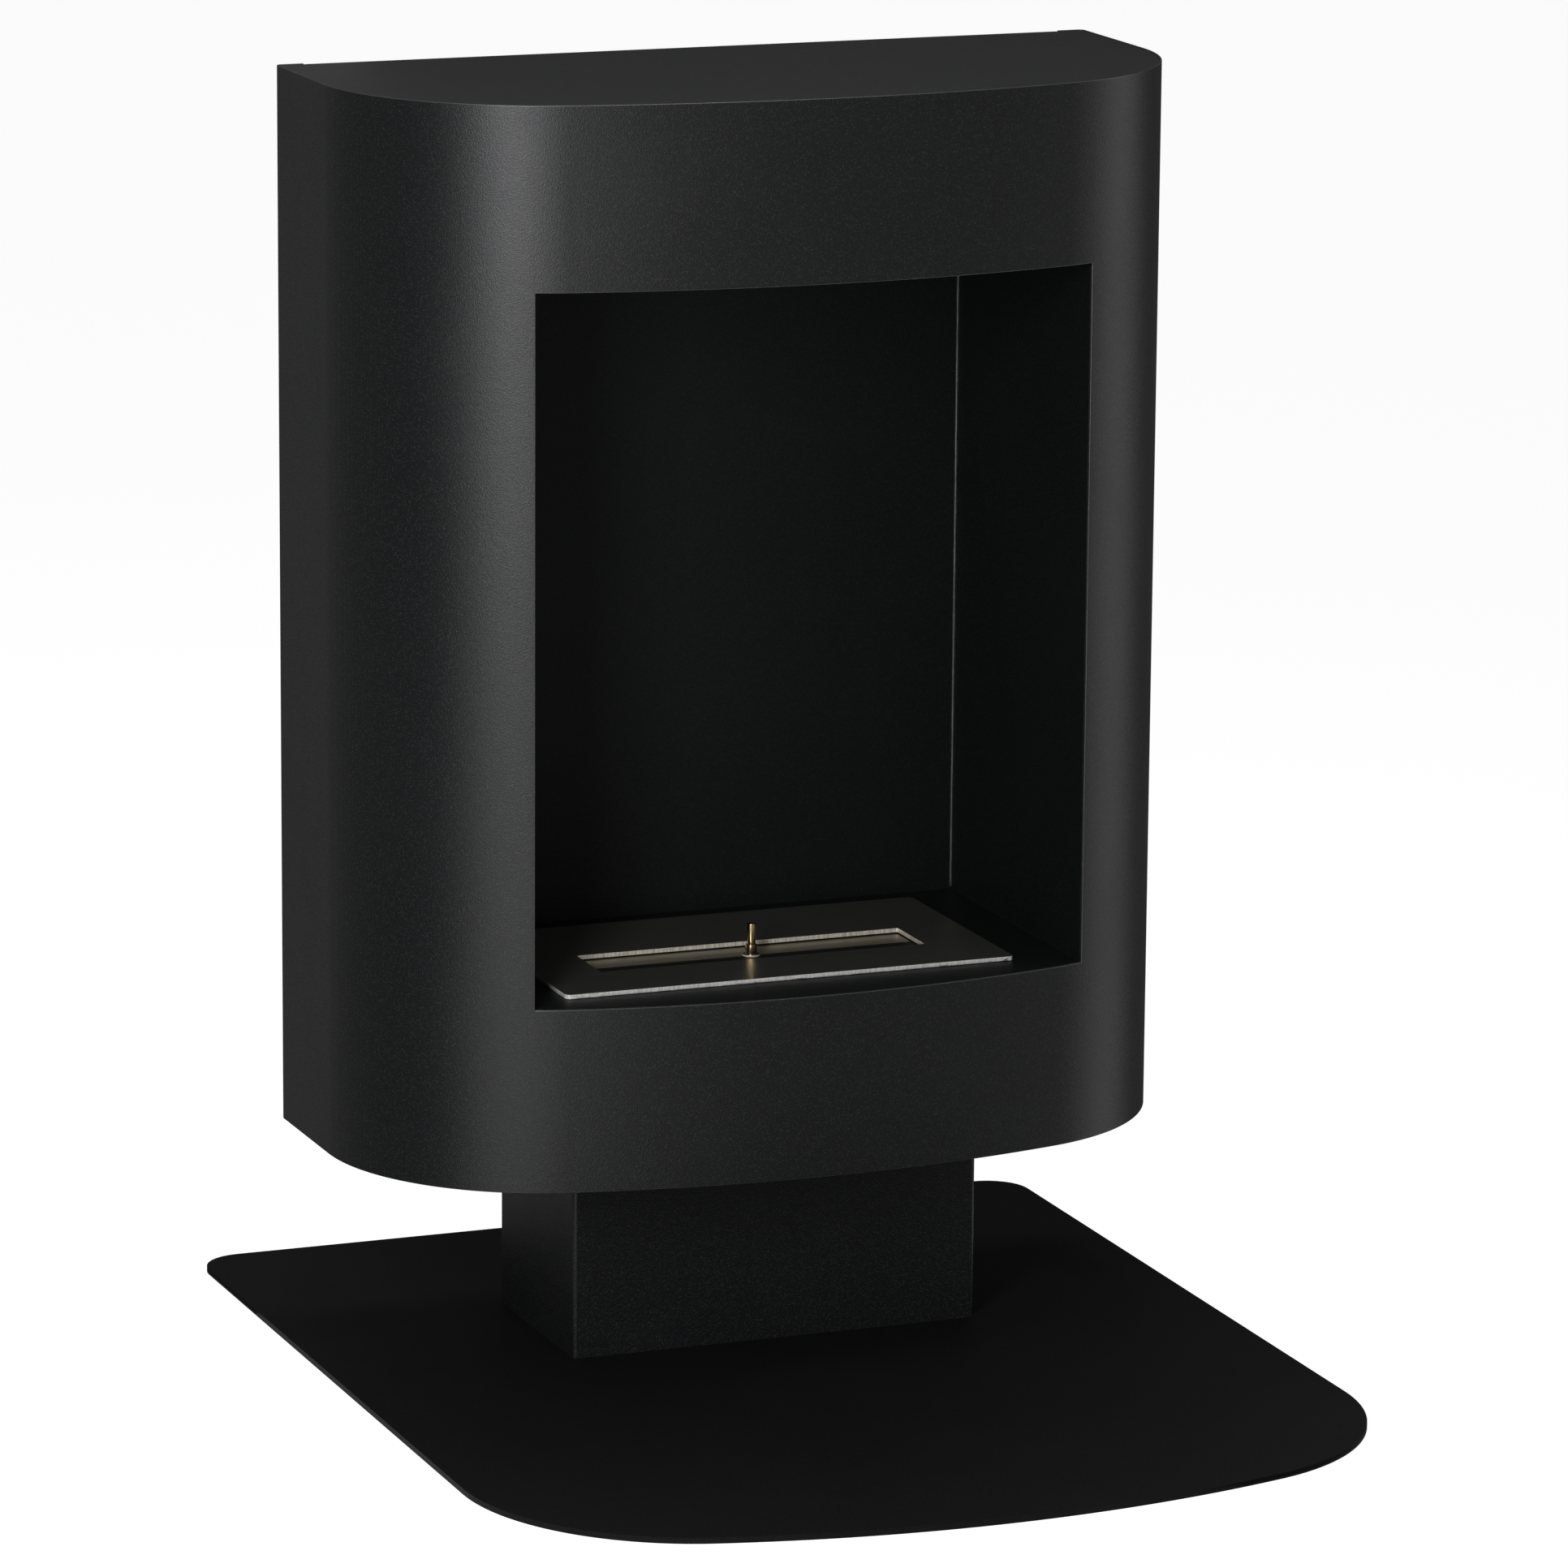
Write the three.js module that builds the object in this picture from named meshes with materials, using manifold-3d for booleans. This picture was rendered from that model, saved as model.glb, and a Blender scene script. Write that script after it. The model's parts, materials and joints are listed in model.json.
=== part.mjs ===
// Bioethanol fireplace: a bow-fronted steel casing on a plinth and a floor plate, with an
// open firebox and a burner that drops into the firebox floor.
// Millimetres, +Z up. The front faces -Y. The origin is the centre of the floor plate's
// underside, and all but the loosely laid burner is symmetric about the plane x = 0.
import * as THREE from 'three';
import { mergeVertices } from 'three/addons/utils/BufferGeometryUtils.js';
import Module from 'manifold-3d';

const wasm = await Module();
wasm.setup();

// ---------------------------------------------------------------------------
// Driving dimensions
// ---------------------------------------------------------------------------

// Floor plate
const plateWidth = 638;
const plateDepth = 763;
const plateThickness = 4;
const plateBackRadius = 31;
const plateCornerRadius = 160;
const plateBowRadius = 767;

// Casing, measured over its outside
const casingWidth = 600;
const casingHeight = 742;
const casingSideDepth = 105; // straight part of each side, from the casing's back
const casingCornerRadius = 156;
const casingBowRadius = 791;
const casingSheet = 1.5;
const casingFoldRadius = 4;
const casingReturn = 20; // inward folds at the back that carry the back panel
const casingGround = 143.5; // height of the casing's underside over the floor
const casingSetback = 142.5; // from the floor plate's back edge to the casing's back
const topRecess = 0.5; // the top sheet lies this far below the shell's edge
const bottomSheet = 2;
const capFlange = 15; // folds at the back of the top and bottom sheets

// Back panel
const panelSheet = 1.5;
const panelMargin = 2;
const panelRadius = 3;
const panelScrewInset = 40; // from the casing's top and bottom to the outer side screws

// Window and firebox
const windowWidth = 402;
const windowHeight = 489;
const windowSill = 128; // from the casing's underside to the window's lower edge
const fireboxSetback = 15; // from the casing's back to the firebox's back face
const linerSheet = 1.5;
const linerFlange = 12;

// Plinth
const plinthWidth = 300;
const plinthDepth = 150;
const plinthSetback = 37.5; // from the casing's back to the plinth's back
const plinthSheet = 2;
const plinthFoldRadius = 3;
const plinthFlange = 25;
const plinthScrewPitch = 200;

// Burner plate and its slot
const burnerWidth = 330;
const burnerDepth = 187;
const burnerThickness = 3;
const burnerRadius = 4;
const burnerSetback = 43; // from the casing's back to the plate's back edge
const burnerShift = -6; // the loose burner lies this far to one side of the middle
const slotWidth = 240;
const slotDepth = 49;
const slotRadius = 1.5;
const slotFrontMargin = 54;

// Fuel tray, absorbent pad and lid seat
const trayWidth = 290;
const trayDepth = 150;
const trayHeight = 60;
const traySheet = 1.5;
const trayRadius = 8;
const padHeight = 40;
const padCrown = 3;
const seatSheet = 1.5;
const seatFlange = 12;
const seatLedge = 6;

// Lid, with its pin, collar and nut
const lidSheet = 1.5;
const lidDrop = 1; // the lid's top lies this far below the burner plate's underside
const lidRadius = 1;
const pinRadius = 3;
const pinHeight = 23;
const pinTail = 7;
const pinChamfer = 0.6;
const collarRadius = 5.5;
const collarHeight = 8;
const collarFootRadius = 7;
const collarFootHeight = 1.2;

// Fasteners: countersunk screws, hexagon bolts, pan-head screws and their nuts
const plateScrew = { radius: 3, length: 12, headRadius: 6, headHeight: 3 };
const plateNut = { acrossFlats: 10, height: 5 };
const casingBolt = { radius: 4, length: 16, acrossFlats: 13, headHeight: 5.3 };
const casingNut = { acrossFlats: 13, height: 6.5 };
const panelScrew = { radius: 2, length: 8, headRadius: 4, headHeight: 2.4 };
const lidNut = { acrossFlats: 10, height: 5 };

// Clearances
const seam = 0.3; // at welded seams that follow the bowed shell, and where a piece rests
const holeClearance = 0.3; // all round a shank or a pin in its hole
const trayClearance = 8; // play all round the tray in the firebox floor's cut-out
const lidClearance = 0.5; // all round the lid in the slot

// Fineness of curves
const bowSegments = 12;
const foldSegments = 3;
const holeSegments = 20;

// ---------------------------------------------------------------------------
// Places worked out from the dimensions
// ---------------------------------------------------------------------------

const plateBack = plateDepth / 2;
const plateFront = -plateDepth / 2;
const casingBack = plateBack - casingSetback;
const shellBack = casingBack - panelSheet;
const windowHalf = windowWidth / 2;
const windowTop = windowSill + windowHeight;
const linerHalf = windowHalf + linerFlange;
const linerInset = casingSheet + seam;
const fireboxBack = casingBack - fireboxSetback;
const plinthHeight = casingGround - plateThickness;
const plinthY = casingBack - plinthSetback - plinthDepth / 2;
const plinthScrewY = plinthDepth / 2 - (plinthSheet + plinthFlange) / 2;
const burnerY = casingBack - burnerSetback - burnerDepth / 2;
const slotY = slotFrontMargin + slotDepth / 2 - burnerDepth / 2;
const ledgeTop = -(lidDrop + lidSheet + seam);
const capHalf = casingWidth / 2 - casingReturn - panelMargin;
const capScrewDrop = capFlange - (capFlange - casingSheet) / 2;
const drillReach = 6 * plateThickness;

// The two bow-fronted plans: a straight back, straight sides, round front corners and a
// shallow bow that is tangent to them.
const casingPlan = bowedPlan({
  halfWidth: casingWidth / 2,
  back: shellBack,
  backRadius: casingFoldRadius,
  cornerRadius: casingCornerRadius,
  bowRadius: casingBowRadius,
  cornerY: casingBack - casingSideDepth,
});
const platePlan = bowedPlan({
  halfWidth: plateWidth / 2,
  back: plateBack,
  backRadius: plateBackRadius,
  cornerRadius: plateCornerRadius,
  bowRadius: plateBowRadius,
  front: plateFront,
});

function bowedPlan(plan) {
  const cornerX = plan.halfWidth - plan.cornerRadius;
  const centreReach = plan.bowRadius - plan.cornerRadius;
  const sweep = Math.asin(cornerX / centreReach);
  const cornerY = plan.cornerY ?? plan.front + plan.bowRadius - centreReach * Math.cos(sweep);
  const bowY = cornerY + centreReach * Math.cos(sweep);
  return { ...plan, cornerX, cornerY, bowY, sweep };
}

// ---------------------------------------------------------------------------
// Outlines
// ---------------------------------------------------------------------------

// A bow-fronted plan as a closed shape, drawn in by the inset all round.
function bowedOutline(plan, inset = 0) {
  const foldX = plan.halfWidth - plan.backRadius;
  const foldY = plan.back - plan.backRadius;
  const fold = plan.backRadius - inset;
  const corner = plan.cornerRadius - inset;
  const bow = plan.bowRadius - inset;
  const rightEnd = plan.sweep - Math.PI / 2;
  const leftEnd = -plan.sweep - Math.PI / 2;
  const shape = new THREE.Shape();
  shape.absarc(foldX, foldY, fold, Math.PI / 2, 0, true);
  shape.absarc(plan.cornerX, plan.cornerY, corner, 0, rightEnd, true);
  shape.absarc(0, plan.bowY, bow, rightEnd, leftEnd, true);
  shape.absarc(-plan.cornerX, plan.cornerY, corner, leftEnd, -Math.PI, true);
  shape.absarc(-foldX, foldY, fold, Math.PI, Math.PI / 2, true);
  return shape;
}

// The y of a plan's front face at a given x, on the outline drawn in by the inset.
function frontFaceAt(plan, x, inset) {
  const bowEnd = (plan.bowRadius - inset) * Math.sin(plan.sweep);
  if (Math.abs(x) <= bowEnd) {
    return plan.bowY - Math.sqrt((plan.bowRadius - inset) ** 2 - x ** 2);
  }
  const fromCorner = Math.abs(x) - plan.cornerX;
  return plan.cornerY - Math.sqrt((plan.cornerRadius - inset) ** 2 - fromCorner ** 2);
}

// A closed shape through corners given as [x, y, radius].
function cornerOutline(corners) {
  const shape = new THREE.Shape();
  corners.forEach(([x, y, radius], i) => {
    const corner = new THREE.Vector2(x, y);
    if (!radius) {
      if (i === 0) shape.moveTo(x, y);
      else shape.lineTo(x, y);
      return;
    }
    const before = new THREE.Vector2(...corners.at(i - 1)).sub(corner).normalize();
    const after = new THREE.Vector2(...corners[(i + 1) % corners.length]).sub(corner).normalize();
    const halfAngle = Math.acos(before.dot(after)) / 2;
    const setback = radius / Math.tan(halfAngle);
    const toCentre = before.clone().add(after).setLength(radius / Math.sin(halfAngle));
    const centre = corner.clone().add(toCentre);
    const start = before.clone().multiplyScalar(setback).sub(toCentre);
    const end = after.clone().multiplyScalar(setback).sub(toCentre);
    const turnsRight = before.cross(after) > 0;
    shape.absarc(centre.x, centre.y, radius, start.angle(), end.angle(), turnsRight);
  });
  return shape;
}

function rectangle(width, depth, radius, y = 0) {
  return cornerOutline([
    [width / 2, y + depth / 2, radius],
    [-width / 2, y + depth / 2, radius],
    [-width / 2, y - depth / 2, radius],
    [width / 2, y - depth / 2, radius],
  ]);
}

function ring(outer, inner) {
  outer.holes.push(inner);
  return outer;
}

function hexagon(acrossFlats) {
  const radius = acrossFlats / Math.sqrt(3);
  const corners = Array.from({ length: 6 }, (_, i) => {
    const angle = (i * Math.PI) / 3;
    return [radius * Math.cos(angle), radius * Math.sin(angle), 0];
  });
  return cornerOutline(corners);
}

// The section of a folded sheet. One face of the sheet runs through the points, and the
// sheet lies to the left of that run. Every fold has an inner radius of half the sheet.
function foldedSection(points, sheet) {
  const innerRadius = sheet / 2;
  const outerRadius = innerRadius + sheet;
  const last = points.length - 1;
  const nearFace = [];
  const farFace = [];
  points.forEach(([x, y], i) => {
    const into = direction(points[Math.max(i, 1) - 1], points[Math.max(i, 1)]);
    const out = direction(points[Math.min(i, last - 1)], points[Math.min(i, last - 1) + 1]);
    const along = into.clone().add(out).normalize();
    const reach = sheet / along.dot(into);
    const isFold = i > 0 && i < last;
    const turnsLeft = into.cross(out) > 0;
    nearFace.push([x, y, isFold ? (turnsLeft ? outerRadius : innerRadius) : 0]);
    const farRadius = isFold ? (turnsLeft ? innerRadius : outerRadius) : 0;
    farFace.unshift([x - along.y * reach, y + along.x * reach, farRadius]);
  });
  return cornerOutline([...nearFace, ...farFace]);
}

function direction(from, to) {
  return new THREE.Vector2(to[0] - from[0], to[1] - from[1]).normalize();
}

// ---------------------------------------------------------------------------
// Solids
// ---------------------------------------------------------------------------

function solidOf(geometry) {
  const bare = geometry.clone();
  bare.deleteAttribute('normal');
  bare.deleteAttribute('uv');
  const merged = mergeVertices(bare, 1e-4);
  return new wasm.Manifold(new wasm.Mesh({
    numProp: 3,
    vertProperties: new Float32Array(merged.attributes.position.array),
    triVerts: new Uint32Array(merged.index.array),
  }));
}

function geometryOf(solid) {
  const mesh = solid.getMesh();
  const geometry = new THREE.BufferGeometry();
  geometry.setAttribute('position', new THREE.BufferAttribute(mesh.vertProperties, 3));
  geometry.setIndex(new THREE.BufferAttribute(mesh.triVerts, 1));
  return geometry;
}

function extruded(shape, height, base = 0, curveSegments = foldSegments) {
  const settings = { depth: height, bevelEnabled: false, curveSegments };
  const geometry = new THREE.ExtrudeGeometry(shape, settings);
  geometry.translate(0, 0, base);
  return solidOf(geometry);
}

// A section drawn in the Y-Z plane and run across X, as far as the half width each way.
function acrossX(section, halfWidth) {
  const settings = { depth: 2 * halfWidth, bevelEnabled: false, curveSegments: foldSegments };
  const geometry = new THREE.ExtrudeGeometry(section, settings);
  geometry.translate(0, 0, -halfWidth);
  const xAxis = new THREE.Vector3(1, 0, 0);
  const yAxis = new THREE.Vector3(0, 1, 0);
  const zAxis = new THREE.Vector3(0, 0, 1);
  geometry.applyMatrix4(new THREE.Matrix4().makeBasis(yAxis, zAxis, xAxis));
  return solidOf(geometry);
}

function block([x0, x1], [y0, y1], [z0, z1]) {
  const geometry = new THREE.BoxGeometry(x1 - x0, y1 - y0, z1 - z0);
  geometry.translate((x0 + x1) / 2, (y0 + y1) / 2, (z0 + z1) / 2);
  return solidOf(geometry);
}

// A round drill that passes through the sheet at a height, along Z, and one that passes
// through the shell's back folds and the back panel, along Y.
function drillZ(radius, x, y, z = 0) {
  const geometry = new THREE.CylinderGeometry(radius, radius, drillReach, holeSegments);
  geometry.rotateX(Math.PI / 2);
  geometry.translate(x, y, z);
  return solidOf(geometry);
}

function drillY(radius, x, z) {
  const geometry = new THREE.CylinderGeometry(radius, radius, drillReach, holeSegments);
  geometry.translate(x, shellBack, z);
  return solidOf(geometry);
}

// A body of revolution about Z through [radius, z] points.
function revolved(profile) {
  const points = profile.map(([radius, z]) => new THREE.Vector2(radius, z));
  const geometry = new THREE.LatheGeometry(points, holeSegments);
  geometry.rotateX(Math.PI / 2);
  return solidOf(geometry);
}

// ---------------------------------------------------------------------------
// Materials
// ---------------------------------------------------------------------------

const finishes = {
  casingCoat: { color: 0x26282a, roughness: 0.5, metalness: 0.3 },
  plateCoat: { color: 0x131314, roughness: 0.75, metalness: 0.1 },
  stainless: { color: 0x8d8b80, roughness: 0.2, metalness: 1 },
  pinSteel: { color: 0xa38f63, roughness: 0.18, metalness: 1 },
  zinc: { color: 0x9a9da0, roughness: 0.4, metalness: 1 },
  ceramicFibre: { color: 0xe6e2d8, roughness: 0.95, metalness: 0 },
};

function addPart(parent, name, solid, finish) {
  const mesh = new THREE.Mesh(geometryOf(solid), new THREE.MeshStandardMaterial(finishes[finish]));
  mesh.material.flatShading = true;
  mesh.name = name;
  parent.add(mesh);
  return mesh;
}

function placedGroup(parent, x, y, z) {
  const group = new THREE.Group();
  group.position.set(x, y, z);
  parent.add(group);
  return group;
}

// ---------------------------------------------------------------------------
// Fasteners: each head's seat is at z = 0, and the shank runs down from it
// ---------------------------------------------------------------------------

function countersunkScrew({ radius, length, headRadius, headHeight }) {
  return revolved([
    [0, -length],
    [radius, -length],
    [radius, -headHeight],
    [headRadius, 0],
    [0, 0],
  ]);
}

function hexagonBolt({ radius, length, acrossFlats, headHeight }) {
  const head = extruded(hexagon(acrossFlats), headHeight);
  const shank = revolved([
    [0, -length],
    [radius, -length],
    [radius, headHeight / 2],
    [0, headHeight / 2],
  ]);
  return head.add(shank);
}

function panHeadScrew({ radius, length, headRadius, headHeight }) {
  const shoulder = headHeight / 2;
  const crown = headRadius * 0.7;
  return revolved([
    [0, -length],
    [radius, -length],
    [radius, 0],
    [headRadius, 0],
    [headRadius, shoulder],
    [crown, headHeight],
    [0, headHeight],
  ]);
}

function hexagonNut({ acrossFlats, height }, shankRadius) {
  const bore = new THREE.Path();
  bore.absarc(0, 0, shankRadius + holeClearance, 0, 2 * Math.PI, false);
  return extruded(ring(hexagon(acrossFlats), bore), height, 0, holeSegments / 2);
}

// The four screw places of the plinth, in plan.
function plinthScrewPlaces() {
  const places = [];
  for (const x of [-plinthScrewPitch / 2, plinthScrewPitch / 2]) {
    for (const y of [-plinthScrewY, plinthScrewY]) {
      places.push([x, plinthY + y]);
    }
  }
  return places;
}

// The back panel's screw places as [x, z]: three down each side, one in each cap.
function panelScrewPlaces() {
  const sideX = casingWidth / 2 - casingReturn / 2;
  const places = [];
  for (const x of [-sideX, sideX]) {
    for (const z of [panelScrewInset, casingHeight / 2, casingHeight - panelScrewInset]) {
      places.push([x, z]);
    }
  }
  places.push([0, capScrewDrop]);
  places.push([0, casingHeight - topRecess - capScrewDrop]);
  return places;
}

function drilled(solid, drills) {
  return drills.reduce((rest, drill) => rest.subtract(drill), solid);
}

// ---------------------------------------------------------------------------
// Base: floor plate and plinth
// ---------------------------------------------------------------------------

function floorPlate() {
  const { radius, headRadius, headHeight } = plateScrew;
  const countersink = revolved([
    [0, -seam],
    [headRadius + holeClearance, -seam],
    [headRadius + holeClearance, seam],
    [radius + holeClearance, headHeight + seam],
    [0, headHeight + seam],
  ]);
  const drills = plinthScrewPlaces().map(([x, y]) => {
    return drillZ(radius + holeClearance, x, y).add(countersink.translate([x, y, 0]));
  });
  return drilled(extruded(bowedOutline(platePlan), plateThickness, 0, bowSegments), drills);
}

// Four walls folded round a rectangle, with flanges turned in at the foot and the head.
function plinthShell() {
  const innerFold = plinthFoldRadius - plinthSheet;
  const inset = 2 * plinthSheet;
  const outer = rectangle(plinthWidth, plinthDepth, plinthFoldRadius, plinthY);
  const inner = rectangle(plinthWidth - inset, plinthDepth - inset, innerFold, plinthY);
  const mouthWidth = plinthWidth - 2 * plinthFlange;
  const mouthDepth = plinthDepth - 2 * plinthFlange;
  const mouth = rectangle(mouthWidth, mouthDepth, plinthFoldRadius, plinthY);
  const places = plinthScrewPlaces();
  const footDrills = places.map(([x, y]) => drillZ(plateScrew.radius + holeClearance, x, y));
  const headDrills = places.map(([x, y]) => drillZ(casingBolt.radius + holeClearance, x, y, plinthHeight));
  const shell = extruded(outer, plinthHeight)
    .subtract(extruded(inner, plinthHeight - inset, plinthSheet))
    .subtract(extruded(mouth, plinthHeight));
  return drilled(shell, [...footDrills, ...headDrills]);
}

function addBase(parent) {
  addPart(parent, 'floor_plate', floorPlate(), 'plateCoat');
  const plinth = placedGroup(parent, 0, 0, plateThickness);
  addPart(plinth, 'plinth_shell', plinthShell(), 'casingCoat');
  plinthScrewPlaces().forEach(([x, y], i) => {
    const screw = addPart(parent, `plate_screw_${i + 1}`, countersunkScrew(plateScrew), 'zinc');
    screw.rotation.x = Math.PI;
    screw.position.set(x, y, seam);
    const nut = addPart(plinth, `plate_nut_${i + 1}`, hexagonNut(plateNut, plateScrew.radius), 'zinc');
    nut.position.set(x, y, plinthSheet);
    const topNut = hexagonNut(casingNut, casingBolt.radius);
    const upperNut = addPart(plinth, `casing_nut_${i + 1}`, topNut, 'zinc');
    upperNut.position.set(x, y, plinthHeight - plinthSheet - casingNut.height);
  });
}

// ---------------------------------------------------------------------------
// Casing: in a group whose z = 0 is the casing's underside
// ---------------------------------------------------------------------------

// One sheet wrapped round the front, with the window cut in it and its back edges
// folded inwards.
function casingShell() {
  const outside = extruded(bowedOutline(casingPlan), casingHeight, 0, bowSegments);
  const inside = bowedOutline(casingPlan, casingSheet);
  const backHalf = casingWidth / 2 - casingReturn;
  const fullHeight = [-seam, casingHeight + seam];
  const backGap = block([-backHalf, backHalf], [fireboxBack, casingBack], fullHeight);
  const windowCut = block([-windowHalf, windowHalf], [plateFront, fireboxBack], [windowSill, windowTop]);
  const sideX = casingWidth / 2 - casingReturn;
  const drills = panelScrewPlaces()
    .filter(([x]) => Math.abs(x) > sideX)
    .map(([x, z]) => drillY(panelScrew.radius + holeClearance, x, z));
  const sheet = outside
    .subtract(extruded(inside, casingHeight + 2 * seam, -seam, bowSegments))
    .subtract(backGap)
    .subtract(windowCut);
  return drilled(sheet, drills);
}

// The plan of the top and bottom sheets: they fill the shell, and reach out between its
// two back folds.
function capPlan() {
  const inside = extruded(bowedOutline(casingPlan, linerInset), casingHeight, 0, bowSegments);
  return inside.add(block([-capHalf, capHalf], [fireboxBack, shellBack], [0, casingHeight]));
}

function casingTop() {
  const face = casingHeight - topRecess;
  const run = [[shellBack, face - capFlange], [shellBack, face], [plateFront, face]];
  const sheet = acrossX(foldedSection(run, casingSheet), casingWidth).intersect(capPlan());
  return sheet.subtract(drillY(panelScrew.radius + holeClearance, 0, face - capScrewDrop));
}

function casingBottom() {
  const run = [[plateFront, 0], [shellBack, 0], [shellBack, capFlange]];
  const sheet = acrossX(foldedSection(run, bottomSheet), casingWidth).intersect(capPlan());
  const boltDrills = plinthScrewPlaces().map(([x, y]) => drillZ(casingBolt.radius + holeClearance, x, y));
  return drilled(sheet, [...boltDrills, drillY(panelScrew.radius + holeClearance, 0, capScrewDrop)]);
}

function backPanel() {
  const width = casingWidth - 2 * panelMargin;
  const height = casingHeight - 2 * panelMargin;
  const sheet = solidOf(new THREE.ExtrudeGeometry(rectangle(width, height, panelRadius), {
    depth: panelSheet,
    bevelEnabled: false,
    curveSegments: foldSegments,
  }).rotateX(Math.PI / 2).translate(0, casingBack, casingHeight / 2));
  const drills = panelScrewPlaces().map(([x, z]) => drillY(panelScrew.radius + holeClearance, x, z));
  return drilled(sheet, drills);
}

function addCasing(parent) {
  addPart(parent, 'casing_shell', casingShell(), 'casingCoat');
  addPart(parent, 'casing_top', casingTop(), 'casingCoat');
  addPart(parent, 'casing_bottom', casingBottom(), 'casingCoat');
  addPart(parent, 'back_panel', backPanel(), 'casingCoat');
  plinthScrewPlaces().forEach(([x, y], i) => {
    const bolt = addPart(parent, `casing_bolt_${i + 1}`, hexagonBolt(casingBolt), 'zinc');
    bolt.position.set(x, y, bottomSheet);
  });
  panelScrewPlaces().forEach(([x, z], i) => {
    const screw = addPart(parent, `panel_screw_${i + 1}`, panHeadScrew(panelScrew), 'zinc');
    screw.rotation.x = -Math.PI / 2;
    screw.position.set(x, casingBack, z);
  });
}

// ---------------------------------------------------------------------------
// Firebox liner: folded sheets whose back flanges the back sheet closes
// ---------------------------------------------------------------------------

// A side wall in plan: a flange against the bowed shell, the wall, and a back flange.
// side is 1 on the right and -1 on the left.
function sideWall(side) {
  const run = [
    [linerHalf, fireboxBack],
    [windowHalf, fireboxBack],
    [windowHalf, frontFaceAt(casingPlan, windowHalf, linerInset)],
    [linerHalf, frontFaceAt(casingPlan, linerHalf, linerInset)],
  ];
  const sided = run.map(([x, y]) => [side * x, y]);
  if (side < 0) sided.reverse();
  return extruded(foldedSection(sided, linerSheet), windowHeight, windowSill);
}

// The plan of the firebox's top and floor: their front edges follow the bowed shell.
function linerPlan() {
  const inside = extruded(bowedOutline(casingPlan, linerInset), casingHeight, 0, bowSegments);
  return inside.intersect(block([-linerHalf, linerHalf], [plateFront, fireboxBack], [0, casingHeight]));
}

function fireboxTop() {
  const run = [[plateFront, windowTop], [fireboxBack, windowTop], [fireboxBack, windowTop + linerFlange]];
  return acrossX(foldedSection(run, linerSheet), casingWidth).intersect(linerPlan());
}

function fireboxFloor() {
  const run = [[fireboxBack, windowSill - linerFlange], [fireboxBack, windowSill], [plateFront, windowSill]];
  const gap = 2 * trayClearance;
  const radius = trayRadius + trayClearance;
  const cutOut = rectangle(trayWidth + gap, trayDepth + gap, radius, burnerY);
  return acrossX(foldedSection(run, linerSheet), casingWidth)
    .intersect(linerPlan())
    .subtract(extruded(cutOut, casingHeight));
}

function fireboxBackSheet() {
  const height = [windowSill - linerFlange, windowTop + linerFlange];
  return block([-linerHalf, linerHalf], [fireboxBack, fireboxBack + linerSheet], height);
}

function addFirebox(parent) {
  addPart(parent, 'firebox_left', sideWall(-1), 'casingCoat');
  addPart(parent, 'firebox_right', sideWall(1), 'casingCoat');
  addPart(parent, 'firebox_top', fireboxTop(), 'casingCoat');
  addPart(parent, 'firebox_floor', fireboxFloor(), 'casingCoat');
  addPart(parent, 'firebox_back', fireboxBackSheet(), 'casingCoat');
}

// ---------------------------------------------------------------------------
// Burner: in a group whose z = 0 is the burner plate's underside
// ---------------------------------------------------------------------------

function burnerPlate() {
  const outer = rectangle(burnerWidth, burnerDepth, burnerRadius);
  const slot = rectangle(slotWidth, slotDepth, slotRadius, slotY);
  return extruded(ring(outer, slot), burnerThickness);
}

function fuelTray() {
  const inset = 2 * traySheet;
  const outer = rectangle(trayWidth, trayDepth, trayRadius);
  const inner = rectangle(trayWidth - inset, trayDepth - inset, trayRadius - traySheet);
  return extruded(outer, trayHeight, -trayHeight)
    .subtract(extruded(inner, trayHeight, traySheet - trayHeight));
}

// A ring that hangs under the slot: a flange on the plate, a short well, and the ledge
// that the lid rests on.
function lidSeat() {
  const depth = -ledgeTop + seatSheet;
  const around = 2 * seatSheet;
  const slot = () => rectangle(slotWidth, slotDepth, slotRadius, slotY);
  const wellRadius = slotRadius + seatSheet;
  const wellOutside = rectangle(slotWidth + around, slotDepth + around, wellRadius, slotY);
  const flangeWidth = slotWidth + 2 * seatFlange;
  const flangeDepth = slotDepth + 2 * seatFlange;
  const flange = rectangle(flangeWidth, flangeDepth, wellRadius, slotY);
  const mouthWidth = slotWidth - 2 * seatLedge;
  const mouthDepth = slotDepth - 2 * seatLedge;
  const mouth = rectangle(mouthWidth, mouthDepth, slotRadius, slotY);
  return extruded(flange, seatSheet, -seatSheet)
    .add(extruded(wellOutside, depth, -depth))
    .subtract(extruded(slot(), depth, ledgeTop))
    .subtract(extruded(mouth, 2 * depth, -2 * depth));
}

// The pad fills the tray's plan and has a slightly rounded upper edge.
function absorbentPad() {
  const inset = 2 * (traySheet + seam);
  const radius = trayRadius - traySheet - seam;
  const base = traySheet + seam - trayHeight;
  const side = rectangle(trayWidth - inset, trayDepth - inset, radius);
  const geometry = new THREE.ExtrudeGeometry(side, {
    depth: padHeight - 2 * padCrown,
    bevelEnabled: true,
    bevelThickness: padCrown,
    bevelSize: padCrown,
    bevelOffset: -padCrown,
    bevelSegments: 3,
    curveSegments: foldSegments,
  });
  geometry.translate(0, 0, base + padCrown);
  return solidOf(geometry);
}

function addBurner(parent) {
  addPart(parent, 'burner_plate', burnerPlate(), 'stainless');
  addPart(parent, 'burner_tray', fuelTray(), 'stainless');
  addPart(parent, 'lid_seat', lidSeat(), 'stainless');
  addPart(parent, 'absorbent_pad', absorbentPad(), 'ceramicFibre');
}

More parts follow.
